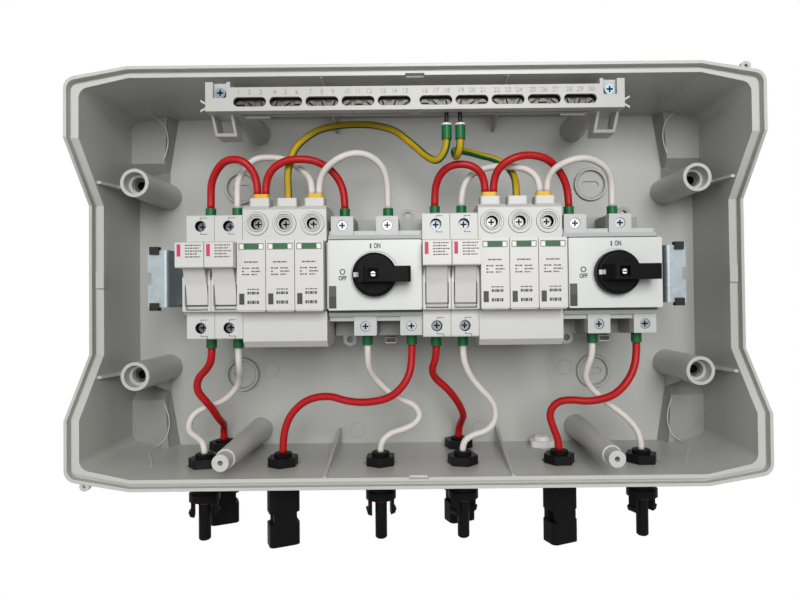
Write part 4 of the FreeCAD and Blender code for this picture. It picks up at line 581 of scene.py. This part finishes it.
def printed_row(form, x, z, width, height, front):
    """Add a row of short dashes, as small print looks from a step away."""
    end = x + width
    for dash in dashes * 4:
        if x < end - 0.3:
            dash = min(dash, end - x)
            printed_bar(form, x, z, dash, height, front)
            x += dash + dash_gap


def printed_ring(form, x, z, inner, outer, front, steps=32):
    """Add a flat printed ring with its middle at x, z."""
    near = front - bpy.context.scene.combiner_printing.thickness / mm
    far = front + print_root
    lathe(form, [(outer, near), (outer, far), (inner, far), (inner, near)], (x, 0, z), "Y", steps)


def lathe(form, profile, centre, axis, steps=32):
    """Turn a closed profile of (radius, distance along the axis) pairs, in millimetres."""
    rings = []
    for step in range(steps):
        turn = 2 * math.pi * step / steps
        ring = []
        for radius, along in profile:
            across = radius * math.cos(turn)
            up = radius * math.sin(turn)
            point = (across, along, up) if axis == "Y" else (across, up, along)
            ring.append(form.verts.new((Vector(centre) + Vector(point)) * mm))
        rings.append(ring)
    for ring, following in zip(rings, rings[1:] + rings[:1]):
        bridge(form, ring, following)


# Height of a capital letter over the font's size
capital_share = 0.72


def lettering(form, text, x, z, height, front, rise, bold=0.0, width=1.0):
    """Add raised letters that face the front, with their middle at x, z; all in metres but the share of width."""
    face = bpy.data.curves.new("letters", "FONT")
    face.body = text
    face.size = height / capital_share
    face.align_x = "CENTER"
    face.align_y = "CENTER"
    face.resolution_u = 3
    face.extrude = rise
    face.offset = bold
    mesh = mesh_of(face)
    stand = Matrix.Translation((x, front, z)) @ Matrix.Rotation(math.radians(90), 4, "X")
    mesh.transform(stand @ Matrix.Diagonal((width, 1.0, 1.0, 1.0)))
    form.from_mesh(mesh)
    bpy.data.meshes.remove(mesh)


# Studio: where the lamps stand and how wide they are, in metres
key_place = (0.12, -1.4, 0.42)
key_size = 0.7
fill_place = (-1.0, -1.3, 0.2)
fill_size = 0.9


def add_camera(studio):
    data = bpy.data.cameras.new("photograph_camera")
    data.lens = studio.lens
    data.sensor_width = sensor_width
    data.shift_x = 0.5 - studio.centre[0] / image_width
    data.shift_y = (studio.centre[1] - image_height / 2) / image_width
    camera = add_object("photograph_camera", data)
    upright = Matrix.Translation((0, -studio.distance, -studio.drop)) @ Matrix.Rotation(math.radians(90), 4, "X")
    level = Matrix.Translation((0, 0, -studio.drop))
    turned = level @ Matrix.Rotation(-studio.roll, 4, "Y") @ level.inverted()
    leaned = Matrix.Rotation(-studio.lean, 4, "X")
    camera.matrix_world = (turned @ leaned).inverted() @ upright
    bpy.context.scene.camera = camera


def add_lamp(name, power, place, size):
    """A square lamp that shines at the middle of the box's back."""
    data = bpy.data.lights.new(name, "AREA")
    data.energy = power
    data.size = size
    lamp = add_object(name, data)
    lamp.location = place
    lamp.rotation_euler = (-Vector(place)).to_track_quat("-Z", "Y").to_euler()


def add_floor(studio):
    form = bmesh.new()
    bmesh.ops.create_grid(form, x_segments=8, y_segments=8, size=4.0)
    mesh = bpy.data.meshes.new("floor")
    form.to_mesh(mesh)
    form.free()
    floor = add_object("floor", mesh)
    floor.location = (0, 0, cad_low.z - studio.floor_gap)
    finish = Finish("floor_paint", {"Roughness": 0.9})
    finish.feed("Base Color", finish.blend(finish.noise(0.4), grey(0.34), grey(0.38)))
    white = finish.node("ShaderNodeEmission", None, {"Color": white_light, "Strength": 1.0})
    lit = Signal(finish, finish.shader.outputs[0])
    mixed = finish.node("ShaderNodeMixShader", None,
                        {0: finish.seen_directly() * studio.floor_white, 1: lit, 2: white})
    finish.tree.links.new(mixed.socket, finish.tree.nodes["Material Output"].inputs["Surface"])
    mesh.materials.append(finish.material)


def light_sky(studio):
    sky = bpy.data.worlds.new("studio_sky")
    sky.use_nodes = True
    bpy.context.scene.world = sky
    wiring = Wiring(sky.node_tree)
    soft = wiring.node("ShaderNodeBackground", None, {"Color": white_light, "Strength": studio.sky})
    white = wiring.node("ShaderNodeBackground", None, {"Color": white_light, "Strength": 1.0})
    mixed = wiring.node("ShaderNodeMixShader", None, {0: wiring.seen_directly(), 1: soft, 2: white})
    sky.node_tree.links.new(mixed.socket, sky.node_tree.nodes["World Output"].inputs["Surface"])


class StudioOperator(bpy.types.Operator):
    """Set up the camera, the lamps, the floor and the sky"""

    bl_idname = "combiner.studio"
    bl_label = "Studio"

    def execute(self, context):
        studio = context.scene.combiner_studio
        add_camera(studio)
        add_lamp("key_lamp", studio.key_power, key_place, key_size)
        add_lamp("fill_lamp", studio.fill_power, fill_place, fill_size)
        add_floor(studio)
        light_sky(studio)
        context.scene.view_settings.view_transform = "Standard"
        return {"FINISHED"}


# Cables
def lead(x, y, z, reach):
    """A cable's end and the end of its straight lead, in millimetres."""
    return [(x, y, z), (x, y, z + reach)]


def at_fuse(place, side):
    low, high = corners(fuse_bases[place])
    edge = high.z if side > 0 else low.z
    return lead((low.x + high.x) / 2, terminal_y, edge + side * collar_reach, side * lead_length)


def at_spout(index, pole, side, diameter):
    x = middle(cartridges[3 * index + pole]).x + side * (diameter / mm + cable_gap) / 2
    return lead(x, spout_y, corners("twin_ferrules")[1].z, lead_length)


def at_surge_earth(index):
    return lead(middle(cartridges[3 * index + 1]).x, spout_y, surge_earth_end, lead_length)


def at_switch(index, offset, side):
    return lead(middle(spindles[index]).x + offset, terminal_y, side * switch_collar_end, side * lead_length)


def at_gland(spot):
    return lead(spot[0], spot[1], gland_top, entry_lead)


def at_earth_bar(index):
    x, reach = earth_bar_ends[index]
    return lead(x, earth_bar_y, earth_collar_low, -reach)


def route_line(route):
    """Points along the smooth curve whose control points are the route's."""
    curve = bpy.data.curves.new("route", "CURVE")
    curve.dimensions = "3D"
    spline = curve.splines.new("NURBS")
    spline.points.add(len(route) - 1)
    for point, place in zip(spline.points, route):
        point.co = (*(Vector(place) * mm), 1.0)
    spline.order_u = 3
    spline.use_endpoint_u = True
    spline.resolution_u = 6
    mesh = mesh_of(curve)
    line = [vertex.co.copy() for vertex in mesh.vertices]
    bpy.data.meshes.remove(mesh)
    return line


# The earth cables' stripes: their angle at the start, in radians, and how fast they turn, in radians a metre
stripe_turn = 0.785
twist_rate = 4.0


def add_tube(form, line, radius, twist=0.0, sides=20):
    """Add a round tube along a line, with the angle and the length as its texture place."""
    places = form.loops.layers.uv.verify()
    travelled = 0.0
    heading = (line[1] - line[0]).normalized()
    across = heading.orthogonal().normalized()
    rings = []
    for number, point in enumerate(line):
        before = line[max(number - 1, 0)]
        after = line[min(number + 1, len(line) - 1)]
        travelled += (point - before).length
        heading = (after - before).normalized()
        across = (across - heading * across.dot(heading)).normalized()
        upward = heading.cross(across)
        ring = []
        for side in range(sides):
            turn = 2 * math.pi * side / sides + twist + travelled * twist_rate * bool(twist)
            ring.append(form.verts.new(point + radius * (math.cos(turn) * across + math.sin(turn) * upward)))
        rings.append((ring, travelled))
    for (ring, start), (following, end) in zip(rings, rings[1:]):
        for side, face in enumerate(bridge(form, ring, following)):
            spots = ((side, start), (side + 1, start), (side + 1, end), (side, end))
            for loop, (angle, along) in zip(face.loops, spots):
                loop[places].uv = (angle / sides, along)
    form.faces.new(reversed(rings[0][0]))
    form.faces.new(rings[-1][0])


def add_cables(node, routes, diameter, finish, twist=0.0):
    form = bmesh.new()
    for route in routes:
        add_tube(form, route_line(route), diameter / 2, twist)
    piece = add_piece(node + "_sheaths", form, finish, smooth=True)
    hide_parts(node)


def joined(start, bends, end):
    return [*start, *bends, *reversed(end)]


def add_upper_links(name, bends, fuse, pole, tower, diameter, finish, slot):
    """From a fuse holder over to a pole of its surge protector and on to the switch, in both groups."""
    routes = []
    for index in range(2):
        first, second = bends[2 * index:2 * index + 2]
        routes.append(joined(at_fuse(2 * index + fuse, 1), first, at_spout(index, pole, -1, diameter)))
        routes.append(joined(at_spout(index, pole, 1, diameter), second, at_switch(index, tower, 1)))
    add_cables(name, routes, diameter, finish)


def add_lower_wires(name, bends, fuse, tower, spots, diameter, finish, slot):
    """From a fuse holder and the switch of a group down to two panel connectors."""
    for index in range(2):
        first, second = bends[2 * index:2 * index + 2]
        near, far = spots[2 * index:2 * index + 2]
        routes = [joined(at_fuse(2 * index + fuse, -1), first, at_gland(near)),
                  joined(at_switch(index, tower, -1), second, at_gland(far))]
        add_cables("%s_%d" % (name, index + 1), routes, diameter, finish)


class CablesOperator(bpy.types.Operator):
    """Draw the red, white and earth cables"""

    bl_idname = "combiner.cables"
    bl_label = "Cables"

    def execute(self, context):
        cables = context.scene.combiner_cables
        red = (cables.red_diameter, sheath("red_sheath", cables.red), "red_insulation")
        white = (cables.white_diameter, sheath("white_sheath", cables.white), "white_insulation")
        add_upper_links("upper_red_links", upper_red_bends, 0, 0, towers_up[0], *red)
        add_upper_links("upper_white_links", upper_white_bends, 1, 2, towers_up[1], *white)
        add_lower_wires("lower_red_wires", lower_red_bends, 0, towers_down[1], socket_spots, *red)
        add_lower_wires("lower_white_wires", lower_white_bends, 1, towers_down[0], plug_spots, *white)
        routes = [joined(at_surge_earth(index), earth_bends[index], at_earth_bar(index)) for index in range(2)]
        add_cables("earth_wires", routes, cables.earth_diameter, striped_sheath(cables),
                   stripe_turn)
        return {"FINISHED"}


# The ways to the box's corners, and radius and depth along each fixing tube, in millimetres
quarters = ((-1, -1), (-1, 1), (1, -1), (1, 1))
tube_step_profile = ((7.39, -53.6), (5.2, -53.6), (5.2, -49.8), (3.1, -49.8), (3.1, -42.99), (7.39, -42.99))
tube_hole_profile = ((3.09, -49.6), (2.9, -49.6), (2.9, -42.9), (3.09, -42.9))


def add_tube_steps(finish, dark):
    """The two steps down each fixing tube and a near-black lining of painted shade in the hole in the middle."""
    steps = bmesh.new()
    holes = bmesh.new()
    for right, up in quarters:
        centre = (right * tube[0], 0, up * tube[1])
        lathe(steps, tube_step_profile, centre, "Y", 48)
        lathe(holes, tube_hole_profile, centre, "Y")
    add_piece("fixing_tube_steps", steps, finish)
    add_piece("fixing_tube_holes", holes, dark)


# The upper right corner pad's outlines at the back wall and at its face, as x and z, the way from each of
# their corners to the pad's inside, and the rib's points, in millimetres
pad_foot = ((183.3, 125.9), (214.6, 119.4), (214.6, 76.0), (191.5, 76.0))
pad_face = ((187.2, 125.2), (214.6, 119.2), (214.6, 89.0), (189.6, 89.0))
pad_inwards = ((0.5, -0.5), (-0.5, -0.5), (-0.5, 0.5), (0.5, 0.5))
pad_shell = ((pad_foot, -2.9, 0), (pad_face, -15.6, 0), (pad_face, -15.05, 1), (pad_foot, -2.9, 1))
rib_points = ((182.0, -57.0, 127.3), (185.0, -49.0, 126.3), (190.0, -41.0, 124.9), (194.5, -32.0, 123.7),
              (195.5, -22.0, 122.8), (192.0, -16.5, 121.0), (188.3, -15.7, 116.0), (186.6, -15.2, 108.0),
              (187.4, -15.4, 99.0), (190.2, -15.7, 91.5))
rib_radius = 0.4 * mm


def add_corner_pads(finish, bright):
    """The sloping pad in each back corner and the thin curved rib that runs over it onto the wall."""
    pads = bmesh.new()
    ribs = bmesh.new()
    for right, up in quarters:
        rings = []
        for outline, y, wall in pad_shell:
            rings.append([pads.verts.new(Vector((right * (x + wall * dx), y, up * (z + wall * dz))) * mm)
                          for (x, z), (dx, dz) in zip(outline, pad_inwards)])
        for ring, following in ((0, 1), (3, 2), (0, 3)):
            bridge(pads, rings[ring], rings[following])
        pads.faces.new(rings[1])
        pads.faces.new(rings[2])
        points = [(right * x, y, up * z) for x, y, z in rib_points]
        add_tube(ribs, route_line(points), rib_radius, sides=10)
    add_piece("corner_pads", pads, finish)
    add_piece("corner_ribs", ribs, bright, smooth=True)


class CaseOperator(bpy.types.Operator):
    """Finish the case"""

    bl_idname = "combiner.case"
    bl_label = "Case"

    def execute(self, context):
        plastics = context.scene.combiner_plastics
        shell = case_plastic(plastics)
        dress(shell, "base_shell")
        # Painted shade: the pads are the case's colour darkened by half
        add_corner_pads(moulded("corner_painted_shade_plastic", toned(plastics.case, 0.48), 0.34),
                        moulded("rib_plastic", plastics.case, 0.3))
        add_tube_steps(shell, ink("tube_shadow", grey(0.004)))
        dress(moulded("vent_plastic", (0.78, 0.78, 0.76), 0.3), "vent_plug")
        return {"FINISHED"}


class RailOperator(bpy.types.Operator):
    """Finish the rail, its brackets, their clips and screws"""

    bl_idname = "combiner.rail"
    bl_label = "Rail and brackets"

    def execute(self, context):
        plastics = context.scene.combiner_plastics
        dress(zinc_sheet(), "din_rail", "rail_bracket_left", "rail_bracket_right")
        dress(moulded("clip_plastic", plastics.black, 0.45, shine=0.25), "bracket_clips")
        dress(plated("bracket_screw_zinc", (0.40, 0.41, 0.41)), "bracket_screws")
        return {"FINISHED"}


# Fuse holders: the clamps' walls and how far down the screw holes they reach, in millimetres
clamp_wall = 0.12
clamp_top = 0.4
clamp_foot = 7.8


def add_terminal_wells(name, spots, radius, finish):
    """Steel clamps that line screw holes, painted near black as the shade inside the holes."""
    form = bmesh.new()
    inner = radius - clamp_wall
    profile = ((radius, clamp_top), (inner, clamp_top), (inner, clamp_foot), (radius, clamp_foot))
    for x, z in spots:
        lathe(form, profile, (x, device_front, z), "Y", 24)
    add_piece(name, form, finish, smooth=True)


# The lines beside a screw hole, from its middle: left, low, width and height in millimetres
connection_lines = ((0, 5.0, 4.3, 0.36), (0, 4.1, 0.36, 0.9), (0, -5.3, 4.3, 0.36), (0, -5.0, 0.36, 0.9))
lower_line = (3.94, -6.9, 0.36, 1.6)


def add_connection_lines(spots, dark):
    """The thin lines of a connection drawing beside each screw hole."""
    form = bmesh.new()
    for x, z in spots:
        bars = connection_lines if z > 0 else (*connection_lines, lower_line)
        printed_bars(form, x, z, bars, device_front)
    add_piece("fuse_connection_lines", form, dark)


# The slits at the drawers: half their width, lowest and highest point in millimetres
middle_slit = (0.45, -2.2, 2.5)
tongue_slit = (0.2, -18.5, -5.0)
tongue_half = 7.1
slit_rise = 0.06
slit_root = 0.1


def add_drawer_slits(dark):
    """Dark slabs of painted shade in the slits between two neighbouring drawers and beside each drawer's tongue."""
    form = bmesh.new()
    spots = [middle(base).x for base in fuse_bases]
    slits = [((spots[index] + spots[index + 1]) / 2, *middle_slit) for index in (0, 2)]
    slits += [(x + side * tongue_half, *tongue_slit) for x in spots for side in (-1, 1)]
    for x, half, low, high in slits:
        slab(form, (x - half, cheek_front - slit_rise, low), (x + half, cheek_front + slit_root, high))
    add_piece("fuse_slits", form, dark)


# A drawer's label: its bar in millimetres, and its lines as shares of its width and heights in millimetres
label_bar = ((1.2, 11.8, 2.3, 7.4),)
label_start = 0.36
label_row_ends = (0.90, 0.84, 0.93, 0.78, 0.88)
label_top = 18.2
label_pitch = 1.75
label_line = 0.7


def add_label_printing(place, pale, red):
    """A plain coloured bar and fine lines on a fuse drawer's label."""
    carrier = carriers[place]
    low, high = corners(carrier)
    width = high.x - low.x
    body = "fuse_drawer_%d" % (place + 1)
    lines = bmesh.new()
    for row, end in enumerate(label_row_ends):
        z = label_top - label_pitch * row
        printed_row(lines, low.x + label_start * width, z, (end - label_start) * width, label_line, low.y)
    add_piece(carrier + "_fine_lines", lines, pale, body)
    bar = bmesh.new()
    printed_bars(bar, low.x, 0, label_bar, low.y)
    add_piece(carrier + "_colour_bar", bar, red, body)


class FusesOperator(bpy.types.Operator):
    """Finish the fuse holders, their drawers and fuses, and print their fronts"""

    bl_idname = "combiner.fuses"
    bl_label = "Fuse holders"

    def execute(self, context):
        plastics = context.scene.combiner_plastics
        settings = context.scene.combiner_printing
        dress(moulded("fuse_plastic", plastics.device, 0.4), *fuse_bases)
        drawers = moulded("drawer_plastic", plastics.carrier, 0.36)
        # Painted shade: a dark band across each drawer in the gap below its tongue
        drawers.paint(between(drawers.along("Z"), -18.7, -17.5), toned(plastics.carrier, 0.06))
        dress(drawers, *carriers)
        dress(moulded("fuse_ceramic", (0.74, 0.73, 0.69), 0.25), *numbered("fuse_link", 4))
        dress(plated("contact_tin", (0.60, 0.58, 0.52)), "fuse_contacts")
        dress(plated("terminal_zinc", (0.15, 0.17, 0.19), 0.34, top=-82.5), "fuse_terminal_screws")
        # The clamps' steel is painted near black as the shade inside the screw holes
        clamp = plated("clamp_steel_painted_shade", (0.012, 0.012, 0.014), 0.6)
        spots = [(middle(base).x, side * fuse_screw_z) for base in fuse_bases for side in (-1, 1)]
        add_terminal_wells("fuse_terminal_clamps", spots, 3.49, clamp)
        # This ink prints the connection lines and paints the shade in the drawers' slits
        dark = ink("fuse_ink_and_slit_shade", settings.ink)
        add_connection_lines(spots, dark)
        add_drawer_slits(dark)
        pale = ink("label_ink", settings.pale_ink)
        red = ink("label_red", (0.50, 0.02, 0.10))
        for place in range(4):
            add_label_printing(place, pale, red)
        return {"FINISHED"}


# Surge protectors: how deep a cartridge's window and the white fields beside it lie, in millimetres
window_floor = 0.4
window_rise = 0.25
window_end_rise = 0.15

# A cartridge's printing from its middle: left, low, width and height in millimetres
window = ((-4.6, 16.5, 9.2, 3.0),)
window_ends = ((-7.1, 16.6, 2.35, 2.8), (4.75, 16.6, 2.35, 2.8))
window_outline = ((-7.6, 16.05, 15.2, 0.3), (-7.6, 19.65, 15.2, 0.3), (-7.6, 16.35, 0.3, 3.3), (7.3, 16.35, 0.3, 3.3))
cartridge_rows = ((-4.3, 8.0, 8.6, 0.9), (-5.6, 4.3, 4.4, 0.8), (0.2, 4.3, 4.6, 0.8), (-5.6, 2.3, 1.2, 0.8),
                  (0.2, 2.3, 5.6, 0.8), (-5.6, 0.4, 4.4, 0.8), (0.2, 0.4, 3.4, 0.8), (-2.4, -8.6, 7.4, 0.7),
                  (-2.4, -11.4, 7.4, 1.7), (-2.4, -17.2, 7.4, 2.0))
cartridge_bars = ((-7.4, -17.6, 3.2, 6.8),)


def add_cartridge_printing(place, green, white, pale, dark):
    """A cartridge's window between two white fields, the window's outline, fine lines and a short bar."""
    cartridge = cartridges[place]
    front = corners(cartridge)[0].y
    floor = front + window_floor
    prints = (("_window", window, green, floor, printed_bar, window_rise),
              ("_window_ends", window_ends, white, floor, printed_bar, window_end_rise),
              ("_window_outline", window_outline, pale, front),
              ("_fine_lines", cartridge_rows, pale, front, printed_row),
              ("_bar", cartridge_bars, dark, front))
    for ending, bars, finish, *surface in prints:
        form = bmesh.new()
        printed_bars(form, middle(cartridge).x, 0, bars, *surface)
        add_piece(cartridge + ending, form, finish, "cartridge_%d" % (place + 1))


# The shadow lines round a screw hole's collar: their inner and outer radius in millimetres
collar_shadows = ((7.3, 7.6), (4.75, 5.0))


def add_port_rings(spots, dark):
    """The shadow lines round the raised collars of the screw holes."""
    form = bmesh.new()
    for x, z in spots:
        for inner, outer in collar_shadows:
            printed_ring(form, x, z, inner, outer, device_front, 48)
    add_piece("surge_port_shadows", form, dark)


class SurgeOperator(bpy.types.Operator):
    """Finish the surge protectors and their cartridges, with windows and printing"""

    bl_idname = "combiner.surge"
    bl_label = "Surge protectors"

    def execute(self, context):
        plastics = context.scene.combiner_plastics
        settings = context.scene.combiner_printing
        dress(moulded("surge_plastic", plastics.device, 0.4), *numbered("surge_base", 2))
        dress(moulded("cartridge_plastic", plastics.carrier, 0.38), *cartridges)
        dress(plated("surge_terminal_zinc", grey(0.17), 0.32, top=-82.5), "surge_terminal_screws")
        # The clamps' steel is painted near black as the shade inside the screw holes
        clamp = plated("port_steel_painted_shade", (0.012, 0.012, 0.013), 0.6)
        spots = [(middle(cartridge).x, surge_screw_z) for cartridge in cartridges]
        add_terminal_wells("surge_terminal_clamps", spots, 3.79, clamp)
        add_port_rings(spots, ink("port_shadow", grey(0.08)))
        inks = (ink("window_green", settings.window), ink("window_white", (0.78, 0.78, 0.76)),
                ink("cartridge_ink", settings.pale_ink), ink("cartridge_dark_ink", settings.ink))
        for place in range(6):
            add_cartridge_printing(place, *inks)
        return {"FINISHED"}


# Switches: the gaps of painted shade above and below the face plate, how deep they go, and where the shelf's painted
# shade starts, in millimetres
face_gaps = ((22.2, 23.4), (-23.6, -21.7))
gap_end = -85.0
shelf_start = -75.0


def switch_plastic(plastics):
    """The switches' grey plastic, with painted shade in the gaps above and below the face plate and half as much on
    the shelf.
    """
    finish = moulded("switch_plastic", plastics.switch)
    height = finish.along("Z")
    above, below = [between(height, *gap) for gap in face_gaps]
    gaps = (above + below) * (finish.along("Y") < gap_end * mm)
    shelf = (finish.along("Y") > shelf_start * mm) * 0.5
    # Painted shade: dark in the face plate's gaps, half as dark on the shelf
    finish.paint(gaps + shelf, toned(plastics.switch, 0.12))
    return finish


# The words beside a knob, from its shaft: across, up, height and boldness in millimetres, and the share of width
switch_words = (("ON", 1.6, 18.0, 3.1, 0.16, 0.62), ("OFF", -20.1, -2.0, 2.7, 0.15, 0.76))

# Their signs and the plate with its foot: the ring as across, up and radii, the bars as left, low, width and height
off_ring = (-20.1, 2.1, 1.15, 1.8)
on_bar = ((-3.0, 16.5, 0.9, 3.1),)
face_plate = ((0.5, -20.6, 4.6, 14.0),)
plate_foot = ((0.5, -20.6, 4.6, 7.4),)


def add_switch_printing(index, rise, dark, plate):
    """ON and OFF with their signs, and the plain plate at the lower left with its darker foot."""
    face = faces[index]
    low = corners(face)[0]
    x = middle(spindles[index]).x
    form = bmesh.new()
    for text, across, up, height, bold, width in switch_words:
        lettering(form, text, (x + across) * mm, up * mm, height * mm, low.y * mm, rise, bold * mm, width)
    printed_bars(form, x, 0, on_bar, low.y)
    printed_ring(form, x + off_ring[0], *off_ring[1:], low.y)
    printed_bars(form, low.x, 0, plate_foot, low.y, printed_bar, 2 * rise / mm)
    add_piece(face + "_words", form, dark)
    form = bmesh.new()
    printed_bars(form, low.x, 0, face_plate, low.y)
    add_piece(face + "_plate", form, plate)


# The knob's mark, in millimetres: half its width, and its outline across from the shaft and in depth
mark_half = 1.4
mark_profile = ((-12.7, -101.8), (-12.6, -102.6), (-11.0, -102.8), (-9.5, -105.2), (-9.1, -104.9), (-10.4, -101.8))


def add_index_mark(index, white):
    """The white mark that runs from the knob's edge up the short end of its lever."""
    x = middle(spindles[index]).x
    form = bmesh.new()
    bar_along_z(form, [(x + across, y) for across, y in mark_profile], -mark_half, mark_half)
    add_piece(handles[index] + "_mark", form, white, "handle_%d" % (index + 1))


# The slot in a latch's foot from the latch's middle, in millimetres
latch_slot = ((-3.4, -46.1, -45.2), (3.4, -45.9, -42.3))


def add_latch_slot(index, dark):
    """A dark slab on the latch's foot, painted shade where its screwdriver slot is."""
    centre = Vector((middle(latches[index]).x, 0, 0))
    form = bmesh.new()
    slab(form, *(centre + Vector(corner) for corner in latch_slot))
    add_piece(latches[index] + "_slot", form, dark, "latch_%d" % (index + 1))


class SwitchesOperator(bpy.types.Operator):
    """Finish the rotary switches, print their faces and mark their knobs"""

    bl_idname = "combiner.switches"
    bl_label = "Switches"

    def execute(self, context):
        plastics = context.scene.combiner_plastics
        settings = context.scene.combiner_printing
        dress(switch_plastic(plastics), *numbered("switch_body", 2))
        dress(moulded("face_plastic", plastics.face, 0.3, 0.015), *faces)
        dress(moulded("knob_plastic", plastics.black, 0.34, 0.2, 0.006 * mm, 0.5 * mm, 0.04), *handles)
        dress(shaft_steel(), *spindles)
        dress(moulded("latch_plastic", plastics.switch), *latches)
        dress(plated("switch_terminal_zinc", (0.24, 0.26, 0.28), 0.3, top=-82.4), "switch_terminal_screws")
        # This ink prints the face's words and signs and paints the shade of the latch slots
        dark = ink("face_ink_and_slot_shade", settings.ink)
        plate = ink("plate_ink", settings.plate)
        white = ink("mark_white", (0.50, 0.50, 0.49))
        for index in range(2):
            add_switch_printing(index, settings.thickness, dark, plate)
            add_index_mark(index, white)
            add_latch_slot(index, dark)
        return {"FINISHED"}


# Earth bar: places along it, in millimetres
first_slot = 12.9
slot_pitch = 22.4
way_pitch = 6.9
number_z = 113.9


def way_spots():
    """Where the thirty ways of the earth bar are, from left to right, in millimetres."""
    slots = sorted(side * (first_slot + slot_pitch * place) for side in (-1, 1) for place in range(5))
    return [centre + offset for centre in slots for offset in (-way_pitch, 0.0, way_pitch)]


def add_way_numbers(settings, finish):
    """The numbers 1 to 30 above the ways."""
    form = bmesh.new()
    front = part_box("earth_bar_carrier")[0].y
    for number, x in enumerate(way_spots()):
        lettering(form, str(number + 1), x * mm, number_z * mm, settings.digit_height, front, settings.digit_rise)
    add_piece("earth_bar_numbers", form, finish)


class EarthBarOperator(bpy.types.Operator):
    """Finish the earth bar, its carrier and screws, and number its ways"""

    bl_idname = "combiner.earth_bar"
    bl_label = "Earth bar"

    def execute(self, context):
        plastics = context.scene.combiner_plastics
        settings = context.scene.combiner_printing
        dress(moulded("earth_carrier_plastic", plastics.rail_grey, 0.4), "earth_bar_carrier")
        dress(plated("busbar_brass", (0.10, 0.09, 0.07), 0.4), "earth_busbar")
        # Painted shade: the nickel way screws are coloured near black, as the shade in the busbar's slots
        dress(plated("way_screw_nickel_painted_shade", (0.055, 0.055, 0.054), 0.34, top=-93.4), "earth_bar_screws")
        dress(plated("carrier_screw_zinc", (0.15, 0.20, 0.23), 0.3, top=-96.0), "earth_carrier_screws")
        # Painted shade: the raised numbers are the carrier's grey, darkened
        add_way_numbers(settings, moulded("number_plastic_painted_shade", toned(plastics.rail_grey, 0.86), 0.4))
        return {"FINISHED"}


# Connectors and ferrules: the thread's turns, in millimetres
thread_profile = ((5.7, 0.0), (6.0, -0.15), (6.0, -0.45), (5.7, -0.6))
thread_top = -119.3
thread_pitch = 1.1


def add_gland_threads(finish):
    """The thread that shows on each connector's neck above its nut."""
    form = bmesh.new()
    for x, y in socket_spots + plug_spots:
        for turn in range(4):
            lathe(form, thread_profile, (x, y, thread_top - turn * thread_pitch), "Z")
    add_piece("connector_threads", form, finish, smooth=True)


class ConnectorsOperator(bpy.types.Operator):
    """Finish the panel connectors, their nuts and seal rings, and the cables' ferrules"""

    bl_idname = "combiner.connectors"
    bl_label = "Connectors and ferrules"

    def execute(self, context):
        plastics = context.scene.combiner_plastics
        cables = context.scene.combiner_cables
        shells = moulded("connector_plastic", plastics.black, 0.45, 0.2, 0.02 * mm, 0.5 * mm, 0.04)
        dress(shells, "panel_sockets", "panel_plugs")
        dress(moulded("nut_plastic", plastics.black, 0.4, 0.2, 0.015 * mm, 0.4 * mm, 0.12), "connector_nuts")
        dress(moulded("seal_rubber", (0.10, 0.006, 0.006), 0.5, shine=0.2), "plug_seals")
        dress(ferrule_finish(cables), "ferrules")
        dress(moulded("twin_collar", cables.twin_collar, 0.4, shine=0.25), "twin_ferrules")
        add_gland_threads(shells)
        return {"FINISHED"}


class CombinerPanel(bpy.types.Panel):
    """Buttons for the box's pieces and its studio"""

    bl_idname = "VIEW3D_PT_combiner_box"
    bl_label = "Combiner box"
    bl_space_type = "VIEW_3D"
    bl_region_type = "UI"
    bl_category = "Combiner box"

    def draw(self, context):
        for operator in operators:
            self.layout.operator(operator.bl_idname)


setting_groups = {
    "combiner_studio": StudioSettings,
    "combiner_plastics": PlasticSettings,
    "combiner_cables": CableSettings,
    "combiner_printing": PrintSettings,
}
operators = (StudioOperator, CablesOperator, CaseOperator, RailOperator, FusesOperator, SurgeOperator,
             SwitchesOperator, EarthBarOperator, ConnectorsOperator)


def register():
    for name, group in setting_groups.items():
        bpy.utils.register_class(group)
        setattr(bpy.types.Scene, name, bpy.props.PointerProperty(type=group))
    for made in (*operators, CombinerPanel):
        bpy.utils.register_class(made)


def unregister():
    for made in reversed((*operators, CombinerPanel)):
        bpy.utils.unregister_class(made)
    for name, group in reversed(list(setting_groups.items())):
        delattr(bpy.types.Scene, name)
        bpy.utils.unregister_class(group)


def main():
    register()
    bpy.ops.combiner.studio()
    bpy.ops.combiner.cables()
    bpy.ops.combiner.case()
    bpy.ops.combiner.rail()
    bpy.ops.combiner.fuses()
    bpy.ops.combiner.surge()
    bpy.ops.combiner.switches()
    bpy.ops.combiner.earth_bar()
    bpy.ops.combiner.connectors()


if __name__ == "__main__":
    main()
